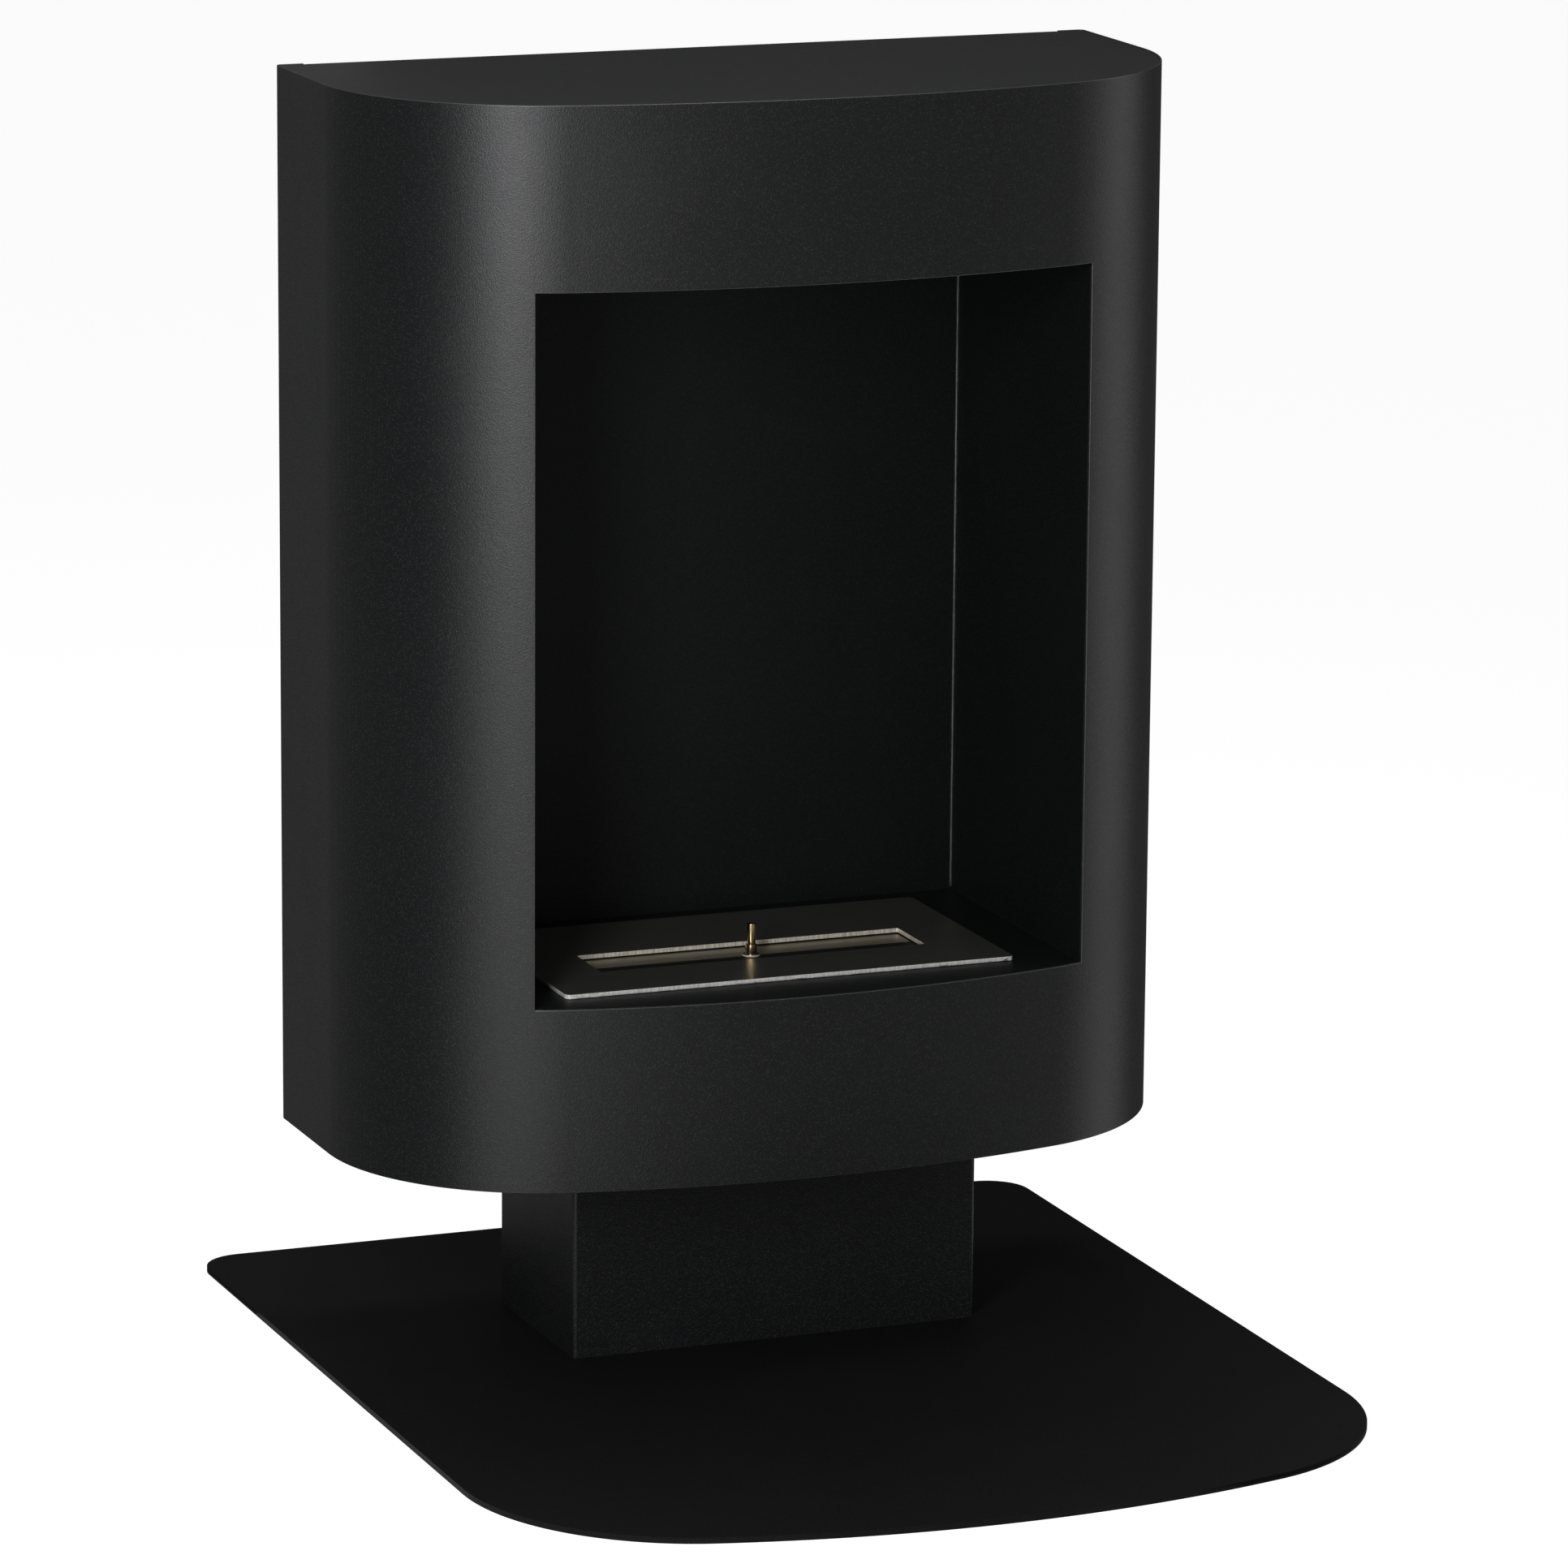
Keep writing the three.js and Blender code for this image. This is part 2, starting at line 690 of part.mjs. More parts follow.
// ---------------------------------------------------------------------------
// Lid: in a group whose z = 0 is the lid's upper face, at the slot's centre
// ---------------------------------------------------------------------------

function lidPlate() {
  const width = slotWidth - 2 * lidClearance;
  const depth = slotDepth - 2 * lidClearance;
  const sheet = extruded(rectangle(width, depth, lidRadius), lidSheet, -lidSheet);
  return sheet.subtract(drillZ(pinRadius + holeClearance, 0, 0));
}

function lidPin() {
  const bottom = -lidSheet - pinTail;
  return revolved([
    [0, bottom],
    [pinRadius - pinChamfer, bottom],
    [pinRadius, bottom + pinChamfer],
    [pinRadius, pinHeight - pinChamfer],
    [pinRadius - pinChamfer, pinHeight],
    [0, pinHeight],
  ]);
}

function lidCollar() {
  const bore = pinRadius + holeClearance;
  return revolved([
    [bore, 0],
    [collarFootRadius, 0],
    [collarFootRadius, collarFootHeight],
    [collarRadius, collarFootHeight],
    [collarRadius, collarHeight - pinChamfer],
    [collarRadius - pinChamfer, collarHeight],
    [bore, collarHeight],
    [bore, 0],
  ]);
}

function addLid(parent) {
  addPart(parent, 'lid_plate', lidPlate(), 'stainless');
  addPart(parent, 'lid_pin', lidPin(), 'pinSteel');
  addPart(parent, 'lid_collar', lidCollar(), 'pinSteel');
  const nut = addPart(parent, 'lid_nut', hexagonNut(lidNut, pinRadius), 'zinc');
  nut.position.z = -lidSheet - lidNut.height;
}

// ---------------------------------------------------------------------------
// Assembly
// ---------------------------------------------------------------------------

const fireplace = new THREE.Group();
addBase(fireplace);
const casing = placedGroup(fireplace, 0, 0, casingGround);
addCasing(casing);
addFirebox(casing);
const burner = placedGroup(casing, burnerShift, burnerY, windowSill + seam);
addBurner(burner);
addLid(placedGroup(burner, 0, slotY, -lidDrop));

export default fireplace;
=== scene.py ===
# %% [markdown]
# A free-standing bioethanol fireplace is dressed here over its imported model. The model is a
# fixed frame: every piece below is built where the frame already has a plain solid, in metres,
# and takes that solid's place. Nothing in the frame is moved.

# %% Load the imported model
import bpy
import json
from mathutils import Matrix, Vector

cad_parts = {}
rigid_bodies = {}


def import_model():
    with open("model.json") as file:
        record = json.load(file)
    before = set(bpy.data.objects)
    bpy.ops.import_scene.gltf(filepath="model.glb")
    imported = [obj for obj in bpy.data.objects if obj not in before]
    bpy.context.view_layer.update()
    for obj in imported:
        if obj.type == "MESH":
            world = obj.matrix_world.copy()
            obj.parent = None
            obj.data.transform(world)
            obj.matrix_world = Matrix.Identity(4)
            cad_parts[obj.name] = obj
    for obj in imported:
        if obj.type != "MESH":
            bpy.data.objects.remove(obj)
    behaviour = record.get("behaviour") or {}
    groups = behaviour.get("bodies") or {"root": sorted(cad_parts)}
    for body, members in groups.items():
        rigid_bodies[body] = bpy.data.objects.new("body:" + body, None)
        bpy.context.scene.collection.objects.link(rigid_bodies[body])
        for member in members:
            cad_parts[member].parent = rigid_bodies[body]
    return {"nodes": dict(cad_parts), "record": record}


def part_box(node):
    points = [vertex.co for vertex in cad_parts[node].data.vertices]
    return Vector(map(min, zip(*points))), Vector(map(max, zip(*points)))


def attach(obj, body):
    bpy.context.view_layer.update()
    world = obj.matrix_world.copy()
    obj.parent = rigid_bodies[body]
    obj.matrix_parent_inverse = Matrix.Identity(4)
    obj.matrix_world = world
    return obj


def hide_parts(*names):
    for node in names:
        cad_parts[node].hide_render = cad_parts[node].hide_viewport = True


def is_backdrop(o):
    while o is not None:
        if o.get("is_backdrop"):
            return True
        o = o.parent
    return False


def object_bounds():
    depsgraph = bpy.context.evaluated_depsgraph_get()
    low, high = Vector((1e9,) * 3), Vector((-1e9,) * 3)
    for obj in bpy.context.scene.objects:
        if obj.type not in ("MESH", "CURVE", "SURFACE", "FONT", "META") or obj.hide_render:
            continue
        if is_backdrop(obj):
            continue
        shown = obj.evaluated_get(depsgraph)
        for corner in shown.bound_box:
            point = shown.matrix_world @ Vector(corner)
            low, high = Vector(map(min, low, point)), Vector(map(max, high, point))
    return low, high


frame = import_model()
frame_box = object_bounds()
print("frame from", [round(v, 4) for v in frame_box[0]], "to", [round(v, 4) for v in frame_box[1]])

# %% [markdown]
# The record says which body and which finish each solid belongs to. Two small look-ups keep
# that in one place. A new piece only has to name the solid that it stands for to ride with its
# body, and the solids that stay take their finish from the other look-up.

# %% Look up bodies and finishes
import json
import math

import bmesh
import bpy
from mathutils import Matrix, Vector

record = frame["record"]
body_of_node = {node: body for body, nodes in record["behaviour"]["bodies"].items() for node in nodes}
slot_of_node = {part["node"]: part["material_slot"] for part in record["subparts"]}
MM = 0.001

# %% [markdown]
# The camera comes first. It stands far off with a long lens, 21.6 degrees round to the left and
# 12.7 degrees up, as a product photographer would stand. A camera looks along its own -Z, so it is
# turned up from straight down, then round, with a small roll about its own axis.

# %% Place the camera
bpy.ops.object.camera_add(location=(-1.9978, -5.0031, 1.6214))
camera = bpy.context.active_object
camera.name = "studio_camera"
turn_round = Matrix.Rotation(math.radians(-21.598), 3, "Z")
tilt_up = Matrix.Rotation(math.radians(90 - 12.667), 3, "X")
roll = Matrix.Rotation(math.radians(0.448), 3, "Z")
camera.rotation_euler = (turn_round @ tilt_up @ roll).to_euler()
camera.data.sensor_width = 36
camera.data.lens = 186.2
camera.data.clip_end = 200
bpy.context.scene.camera = camera
print("camera at", [round(v, 3) for v in camera.location], "with a lens of", camera.data.lens, "mm")

# %% [markdown]
# Materials are made of nodes. One helper adds a node and fills its sockets. The others are the
# three nodes that come up most: one does arithmetic, one stretches a range of values to another,
# and one mixes two colours.

# %% Helpers for nodes
def add_node(tree, kind, sockets=None, **settings):
    """Adds a shader node. A socket is given a plain value, or the output that feeds it."""
    node = tree.nodes.new("ShaderNode" + kind)
    for name, value in settings.items():
        setattr(node, name, value)
    for name, value in (sockets or {}).items():
        if isinstance(value, bpy.types.NodeSocket):
            tree.links.new(value, node.inputs[name])
        else:
            node.inputs[name].default_value = value
    return node


def arithmetic(tree, operation, first, second=0.0):
    return add_node(tree, "Math", {0: first, 1: second}, operation=operation).outputs[0]


def remap(tree, value, low, high, to_low, to_high):
    sockets = {"Value": value, "From Min": low, "From Max": high, "To Min": to_low, "To Max": to_high}
    return add_node(tree, "MapRange", sockets).outputs[0]


def blend_colours(tree, mask, first, second):
    mix = add_node(tree, "Mix", {"Factor": mask}, data_type="RGBA")
    for socket, colour in ((mix.inputs[6], first), (mix.inputs[7], second)):
        if isinstance(colour, bpy.types.NodeSocket):
            tree.links.new(colour, socket)
        else:
            socket.default_value = (*colour, 1)
    return mix.outputs[2]


print("colours are red, green and blue from 0 to 1")

# %% [markdown]
# Values that are even over a whole piece are set on the shader itself. What several materials
# share is made once, as a group with inputs and outputs of its own.

# %% Helpers for materials and groups
def new_material(name, **constants):
    """A material with a Principled BSDF, whose even values are set on its own sockets."""
    material = bpy.data.materials.new(name)
    material.use_nodes = True
    shader = material.node_tree.nodes["Principled BSDF"]
    for socket, value in constants.items():
        shader.inputs[socket.replace("_", " ")].default_value = value
    return material, material.node_tree, shader


def new_group(name, inputs, outputs):
    """A shader node group with named number inputs and named number outputs."""
    tree = bpy.data.node_groups.new(name, "ShaderNodeTree")
    for label, value in inputs.items():
        socket = tree.interface.new_socket(label, in_out="INPUT", socket_type="NodeSocketFloat")
        socket.default_value = value
    for label in outputs:
        tree.interface.new_socket(label, in_out="OUTPUT", socket_type="NodeSocketFloat")
    return tree, tree.nodes.new("NodeGroupInput"), tree.nodes.new("NodeGroupOutput")


def use_group(tree, group, **values):
    node = add_node(tree, "Group", node_tree=group)
    for label, value in values.items():
        node.inputs[label.replace("_", " ")].default_value = value
    return node


print("materials so far:", len(bpy.data.materials))

# %% [markdown]
# Powder coat is sprayed as dust and melted in an oven. It dries with a fine uneven skin, catches
# the light in tiny flecks, and its depth of colour drifts a little over a big sheet. The group
# gives all three as values, so that each coat can use its own grain size.

# %% Group: powder coat grain
coat_grain, grain_in, grain_out = new_group(
    "Powder coat grain", {"Grain per metre": 700.0, "Flecks per metre": 1100.0},
    ["Height", "Flecks", "Drift"],
)
place = add_node(coat_grain, "TexCoord").outputs["Object"]
skin = add_node(coat_grain, "TexNoise", {"Vector": place, "Scale": grain_in.outputs[0], "Detail": 3.0})
dots = add_node(coat_grain, "TexVoronoi", {"Vector": place, "Scale": grain_in.outputs[1]})
drift = add_node(coat_grain, "TexNoise", {"Vector": place, "Scale": 5.0, "Detail": 4.0, "Roughness": 0.6})
bright_dots = remap(coat_grain, dots.outputs["Distance"], 0.55, 0.15, 0.0, 1.0)
chosen = add_node(coat_grain, "SeparateColor", {"Color": dots.outputs["Color"]}).outputs[0]
few_dots = remap(coat_grain, chosen, 0.35, 1.0, 0.0, 1.0)
flecks = arithmetic(coat_grain, "MULTIPLY", bright_dots, few_dots)
wide_drift = remap(coat_grain, drift.outputs["Fac"], 0.3, 0.7, 0.0, 1.0)
coat_grain.links.new(skin.outputs["Fac"], grain_out.inputs["Height"])
coat_grain.links.new(flecks, grain_out.inputs["Flecks"])
coat_grain.links.new(wide_drift, grain_out.inputs["Drift"])
print("group", coat_grain.name, "has", len(coat_grain.nodes), "nodes")

# %% [markdown]
# Handling leaves faint dust and soft marks that make a sheet duller in patches. Wear breaks a
# coat along its edges. Both are broken-up noise with a threshold, so one group gives the two.

# %% Group: wear and dust
wear_dust, wear_in, wear_out = new_group(
    "Wear and dust", {"Wear": 0.5, "Marks per metre": 160.0}, ["Worn", "Dust"]
)
place = add_node(wear_dust, "TexCoord").outputs["Object"]
chips = add_node(wear_dust, "TexNoise", {"Vector": place, "Scale": wear_in.outputs[1], "Detail": 5.0})
lowered = arithmetic(wear_dust, "MULTIPLY", wear_in.outputs[0], 0.4)
floor_of_wear = arithmetic(wear_dust, "SUBTRACT", 0.75, lowered)
above = arithmetic(wear_dust, "SUBTRACT", chips.outputs["Fac"], floor_of_wear)
worn = remap(wear_dust, above, 0.0, 0.12, 0.0, 1.0)
clouds = add_node(wear_dust, "TexNoise", {"Vector": place, "Scale": 9.0, "Detail": 6.0, "Roughness": 0.65})
dust = remap(wear_dust, clouds.outputs["Fac"], 0.45, 0.75, 0.0, 1.0)
wear_dust.links.new(worn, wear_out.inputs["Worn"])
wear_dust.links.new(dust, wear_out.inputs["Dust"])
print("group", wear_dust.name, "has", len(wear_dust.nodes), "nodes")

# %% [markdown]
# The coats are all nearly black, and differ only in values, so one function mixes them all. It
# takes the two ends of the drift and the colour of the flecks. Gloss is the shader's specular
# level, and grain is how many bumps of the skin lie in a metre.

# %% Mix a powder coat
def powder_coat(name, dark, light, fleck, roughness, gloss, grain, bump, wear=0.0, worn=(0.1, 0.1, 0.1)):
    """A matt to satin black. Where there is wear, edges are worn through to a lighter colour."""
    material, tree, shader = new_material(name, Metallic=0.0, Specular_IOR_Level=gloss)
    skin = use_group(tree, coat_grain, Grain_per_metre=grain, Flecks_per_metre=0.8 * grain)
    marks = use_group(tree, wear_dust, Wear=wear)
    body = blend_colours(tree, skin.outputs["Drift"], dark, light)
    flecked = blend_colours(tree, skin.outputs["Flecks"], body, fleck)
    colour = blend_colours(tree, marks.outputs["Worn"], flecked, worn) if wear else flecked
    dulled = remap(tree, marks.outputs["Dust"], 0.0, 1.0, roughness, roughness + 0.05)
    skin_height = {"Height": skin.outputs["Height"], "Strength": bump, "Distance": 0.0003}
    height = add_node(tree, "Bump", skin_height)
    tree.links.new(colour, shader.inputs["Base Color"])
    tree.links.new(dulled, shader.inputs["Roughness"])
    tree.links.new(height.outputs[0], shader.inputs["Normal"])
    return material


print("coats use", coat_grain.name, "and", wear_dust.name)

# %% [markdown]
# The casing's coat is a charcoal satin, and the firebox's is a blacker and duller copy of it,
# which is painted shade inside the firebox. The floor plate's is matt. Over a cut edge or a weld
# a coat runs thin, so it looks lighter there, and a long edge catches the light as a fine line.
# The edge and weld coats are made several times lighter and glossier than that, which is a
# painted highlight along the edges and seams.

# %% Materials: the powder coats
casing_coat = powder_coat(
    "charcoal satin coat", (0.006, 0.0065, 0.0072), (0.008, 0.0085, 0.0092), (0.040, 0.042, 0.042),
    roughness=0.36, gloss=0.40, grain=1100, bump=0.7,
)
# Lighter and glossier on edges: partly a thin coat, partly a painted highlight.
casing_edge_highlight = powder_coat(
    "charcoal edge coat, thin and with painted highlight", (0.034, 0.035, 0.037), (0.044, 0.045, 0.047), (0.07, 0.07, 0.074),
    roughness=0.32, gloss=0.8, grain=1150, bump=0.2, wear=0.3, worn=(0.11, 0.11, 0.11),
)
# A blacker, duller copy of the casing's coat: painted shade inside the firebox.
firebox_shaded_coat = powder_coat(
    "black coat in the firebox, darkened as painted shade", (0.0045, 0.0052, 0.0052), (0.006, 0.0068, 0.0068),
    (0.018, 0.019, 0.019), roughness=0.45, gloss=0.2, grain=1150, bump=0.55,
)
plate_coat = powder_coat(
    "matt black coat", (0.0030, 0.0032, 0.0032), (0.0044, 0.0046, 0.0044), (0.012, 0.012, 0.012),
    roughness=0.65, gloss=0.12, grain=1150, bump=0.4,
)
# Lighter on the plate's edges: partly a thin coat, partly a painted highlight.
plate_edge_highlight = powder_coat(
    "matt black edge coat, thin and with painted highlight", (0.010, 0.010, 0.011), (0.014, 0.014, 0.015), (0.04, 0.04, 0.04),
    roughness=0.5, gloss=0.35, grain=900, bump=0.2, wear=0.3, worn=(0.09, 0.09, 0.09),
)
# Much lighter and glossier than the firebox's coat: a painted highlight on the weld beads.
weld_highlight_coat = powder_coat(
    "charcoal coat over a weld, lighter as painted highlight", (0.036, 0.036, 0.038), (0.058, 0.058, 0.06), (0.14, 0.14, 0.14),
    roughness=0.42, gloss=0.9, grain=620, bump=0.3,
)
print("coats:", casing_coat.name, "/", casing_edge_highlight.name, "/", plate_coat.name, "/", plate_edge_highlight.name)

# %% [markdown]
# Steel shows how it was made. A polished sheet has very fine straight lines along it, and a face
# left by a plasma cutter has upright streaks. Both are one noise, stretched by many waves per
# metre across the lines and few along them. Bare is the share of clean metal. The rest is a dull
# film of oil, oxide or slag.

# %% Mix a steel
SMEAR = 0.06


def steel(name, dark, light, roughness, streaks, bump, bare=1.0):
    """A steel with lines of two tones, and smears that are duller by up to SMEAR."""
    material, tree, shader = new_material(name, Metallic=bare)
    place = add_node(tree, "TexCoord").outputs["Object"]
    stretched = add_node(tree, "Mapping", {"Vector": place, "Scale": streaks})
    lines = add_node(tree, "TexNoise", {"Vector": stretched.outputs[0], "Scale": 1.0, "Detail": 4.0})
    marks = use_group(tree, wear_dust, Wear=0.2)
    tone = remap(tree, lines.outputs["Fac"], 0.35, 0.65, 0.0, 1.0)
    smeared = remap(tree, marks.outputs["Dust"], 0.0, 1.0, roughness, roughness + SMEAR)
    line_height = {"Height": lines.outputs["Fac"], "Strength": bump, "Distance": 0.0001}
    height = add_node(tree, "Bump", line_height)
    tree.links.new(blend_colours(tree, tone, dark, light), shader.inputs["Base Color"])
    tree.links.new(smeared, shader.inputs["Roughness"])
    tree.links.new(height.outputs[0], shader.inputs["Normal"])
    return material


print("steels use", wear_dust.name)

# %% [markdown]
# The burner's plate and tray are polished. The lid's brown is painted warm reflection. The black
# steel is soot in the seat, where the flame licks, and painted shade there and on the lid's front
# strip. The cut faces are nearly white with dry oxide, and those in the slot a little yellower,
# which is painted warm reflection. The pin and its collar are turned, and their warm tone is
# painted warm reflection. Screws and nuts have the dull bloom of zinc.

# %% Materials: the steels
SHEET_LINES = (9, 1400, 1400)
polished = steel(
    "polished plate steel", (0.25, 0.25, 0.228), (0.33, 0.33, 0.30),
    roughness=0.31, streaks=SHEET_LINES, bump=0.05, bare=0.88,
)
# The lid's brown is painted warm reflection.
lid_steel = steel(
    "lid steel, brown as painted reflection", (0.21, 0.18, 0.12), (0.36, 0.32, 0.23),
    roughness=0.32, streaks=SHEET_LINES, bump=0.06, bare=0.60,
)
# Black steel: soot in the seat, and painted shade in the seat and on the lid's front strip.
soot_and_shade_steel = steel(
    "black steel, soot and painted shade", (0.004, 0.004, 0.004), (0.010, 0.010, 0.009),
    roughness=0.55, streaks=(9, 900, 900), bump=0.06, bare=0.6,
)
# The collar's warm tone is painted warm reflection.
collar_steel = steel(
    "turned collar steel, warm as painted reflection", (0.34, 0.25, 0.135), (0.48, 0.38, 0.23),
    roughness=0.17, streaks=(300, 300, 900), bump=0.05,
)
cut_steel = steel(
    "plasma-cut steel", (0.74, 0.73, 0.69), (1.0, 0.99, 0.95),
    roughness=0.45, streaks=(700, 700, 160), bump=0.5, bare=0.10,
)
# Its warm tone is painted warm reflection; on the collar's foot it is a painted highlight.
slot_steel = steel(
    "cut steel in the slot", (0.60, 0.56, 0.47), (0.92, 0.88, 0.76),
    roughness=0.42, streaks=(700, 700, 120), bump=0.35, bare=0.35,
)
# The pin's warm tone is painted warm reflection.
pin_steel = steel(
    "polished pin steel, warm as painted reflection", (0.46, 0.34, 0.18), (0.62, 0.50, 0.31),
    roughness=0.14, streaks=(300, 300, 40), bump=0.05,
)
zinc = steel(
    "zinc plate", (0.40, 0.41, 0.43), (0.56, 0.57, 0.59),
    roughness=0.36, streaks=(500, 500, 500), bump=0.15,
)
print("steels:", len([m for m in bpy.data.materials if "steel" in m.name or "zinc" in m.name]))

# %% [markdown]
# The pad that soaks up the fuel is a block of ceramic fibre. It is chalky white and matt, and
# its short fibres lie every way, so two noises are laid over each other, one of them stretched.

# %% Material: ceramic fibre
def fibre_felt():
    material, tree, shader = new_material("ceramic fibre felt", Roughness=0.95, Specular_IOR_Level=0.2)
    place = add_node(tree, "TexCoord").outputs["Object"]
    long_way = add_node(tree, "Mapping", {"Vector": place, "Scale": (260, 1100, 900)})
    fibres = add_node(tree, "TexNoise", {"Vector": long_way.outputs[0], "Scale": 1.0, "Detail": 6.0})
    tufts = add_node(tree, "TexNoise", {"Vector": place, "Scale": 180.0, "Detail": 5.0})
    both = arithmetic(tree, "ADD", fibres.outputs["Fac"], tufts.outputs["Fac"])
    tone = remap(tree, both, 0.75, 1.25, 0.0, 1.0)
    colour = blend_colours(tree, tone, (0.66, 0.63, 0.56), (0.86, 0.84, 0.78))
    height = add_node(tree, "Bump", {"Height": both, "Strength": 0.8, "Distance": 0.0008})
    tree.links.new(colour, shader.inputs["Base Color"])
    tree.links.new(height.outputs[0], shader.inputs["Normal"])
    return material


felt = fibre_felt()
print("felt:", felt.name)

# %% [markdown]
# Modelling by hand means selecting something, then using a tool on it. These helpers do the
# same in code. Everything is deselected first, because the loaded solids are still selected.

# %% Helpers for selecting
SMALL = 1e-5


def near(a, b, gap=SMALL):
    return abs(a - b) < gap


def only(piece):
    bpy.ops.object.select_all(action="DESELECT")
    piece.select_set(True)
    bpy.context.view_layer.objects.active = piece


def edit(piece):
    only(piece)
    bpy.ops.object.mode_set(mode="EDIT")


def leave_edit():
    bpy.ops.object.mode_set(mode="OBJECT")


def pick(piece, kind, test):
    """Selects, in edit mode, the corners, edges or faces that pass a test, and counts them."""
    bpy.ops.mesh.select_mode(type=kind)
    bpy.ops.mesh.select_all(action="DESELECT")
    mesh = bmesh.from_edit_mesh(piece.data)
    parts = {"VERT": mesh.verts, "EDGE": mesh.edges, "FACE": mesh.faces}[kind]
    chosen = [part for part in parts if test(part)]
    for part in chosen:
        part.select_set(True)
    mesh.select_flush_mode()
    bmesh.update_edit_mesh(piece.data)
    return len(chosen)


def edge_along(edge, axis):
    """True if an edge runs along an axis, 0, 1 or 2."""
    run = edge.verts[1].co - edge.verts[0].co
    return abs(run[axis]) > 0.999 * run.length


def edge_at(edge, **where):
    """True if both ends of an edge are at the given x, y or z."""
    ends = [vert.co for vert in edge.verts]
    return all(near(end["xyz".index(axis)], value) for axis, value in where.items() for end in ends)


print("two places are the same within", SMALL, "m")

# %% [markdown]
# Picked parts are moved, extruded or rounded. Modifiers are applied as soon as they are set, so
# each tool sees the finished mesh.

# %% Helpers for edges, faces and modifiers
def move_selected(x=0.0, y=0.0, z=0.0):
    bpy.ops.transform.translate(value=(x, y, z))


def extrude_faces(x=0.0, y=0.0, z=0.0):
    bpy.ops.mesh.extrude_region_move(TRANSFORM_OT_translate={"value": (x, y, z)})


def delete_faces():
    bpy.ops.mesh.delete(type="FACE")


def inset_faces(width):
    bpy.ops.mesh.inset(thickness=width)


def round_edges(width, segments):
    """Rounds the picked edges, in edit mode."""
    bpy.ops.mesh.bevel(offset=width, offset_type="OFFSET", segments=segments, affect="EDGES")


def pick_all():
    bpy.ops.mesh.select_all(action="SELECT")


def face_outwards():
    """Turns every face of a closed mesh outwards, in edit mode."""
    pick_all()
    bpy.ops.mesh.normals_make_consistent(inside=False)


def modify(piece, kind, **settings):
    """Adds a modifier to a piece, sets it and applies it."""
    only(piece)
    bpy.ops.object.modifier_add(type=kind)
    modifier = piece.modifiers[-1]
    for name, value in settings.items():
        setattr(modifier, name, value)
    bpy.ops.object.modifier_apply(modifier=modifier.name)


def thicken(skin, thickness):
    """Gives a skin its thickness, inwards from its outer face."""
    modify(skin, "SOLIDIFY", thickness=thickness, offset=-1, use_even_offset=True)


print("modifiers are applied at once")

# %% [markdown]
# Blocks and bars are added at the right size and place, and then settled, so that a radius in
# metres stays round. A cutter is a block or a bar too, and is gone after its cut.

# %% Helpers for blocks, bars and cuts
def settle(name):
    """Names what was just added, and moves its place, turn and scale into its mesh."""
    piece = bpy.context.active_object
    piece.name = name
    bpy.ops.object.transform_apply(location=True, rotation=True, scale=True)
    return piece


def box_piece(name, low, high, rounded=0.0, along=2, segments=6):
    """A block between two corners, with the edges along one axis rounded."""
    low, high = Vector(low), Vector(high)
    bpy.ops.object.select_all(action="DESELECT")
    bpy.ops.mesh.primitive_cube_add(size=1, location=(low + high) / 2, scale=high - low)
    piece = settle(name)
    if rounded:
        edit(piece)
        pick(piece, "EDGE", lambda edge: edge_along(edge, along))
        round_edges(rounded, segments)
        leave_edit()
    return piece


def round_bar(name, centre, radius, length, axis="Z", sides=32):
    """A cylinder about a centre, along Z or Y, with its place in its mesh."""
    turned = (math.pi / 2, 0, 0) if axis == "Y" else (0, 0, 0)
    bpy.ops.object.select_all(action="DESELECT")
    bpy.ops.mesh.primitive_cylinder_add(
        vertices=sides, radius=radius, depth=length, location=centre, rotation=turned, end_fill_type="NGON"
    )
    return settle(name)


def take_away(piece, cutter):
    """Cuts one piece out of another, and removes the cutter."""
    modify(piece, "BOOLEAN", operation="DIFFERENCE", solver="EXACT", object=cutter)
    bpy.data.objects.remove(cutter, do_unlink=True)


def drill(piece, places, radius, axis="Z", length=30 * MM, sides=24):
    """Cuts round holes: one bar per place, joined to one cutter."""
    bars = [round_bar("drill", place, radius, length, axis, sides) for place in places]
    only(bars[0])
    for bar in bars[1:]:
        bar.select_set(True)
    if len(bars) > 1:
        bpy.ops.object.join()
    take_away(piece, bpy.context.active_object)


print("a drill is 30 mm long unless it is told otherwise")

# %% [markdown]
# No real edge is perfectly sharp. Every sharp edge is rounded slightly, so that it catches the
# light, and the rest is shaded smooth. Weighted normals then keep large faces flat, and only the
# narrow rounded ones turn. At last the piece takes its solid's place.

# %% Helpers for finishing a piece
SHARP = math.radians(35)


def soften(piece, width, segments=2, edge_material=-1):
    """Rounds the sharp edges, if wanted with their own material, and smooths the rest."""
    modify(
        piece, "BEVEL", width=width, segments=segments, limit_method="ANGLE", angle_limit=SHARP,
        material=edge_material, use_clamp_overlap=True, miter_outer="MITER_ARC",
    )
    only(piece)
    bpy.ops.object.shade_smooth_by_angle(angle=SHARP)
    modify(piece, "WEIGHTED_NORMAL", mode="FACE_AREA", weight=50, keep_sharp=True)


def coat(piece, *materials):
    piece.data.materials.clear()
    for material in materials:
        piece.data.materials.append(material)


def stand_for(piece, node):
    """The piece takes a solid's place, and rides with its body."""
    piece.name = piece.data.name = node + "_detail"
    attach(piece, body_of_node[node])
    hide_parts(node)
    low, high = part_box(node)
    size = [round((high - low)[i] / MM, 1) for i in range(3)]
    mine = [round(value / MM, 1) for value in piece.dimensions]
    print(piece.name, "is", mine, "mm; its solid is", size, "mm;", len(piece.data.polygons), "faces")


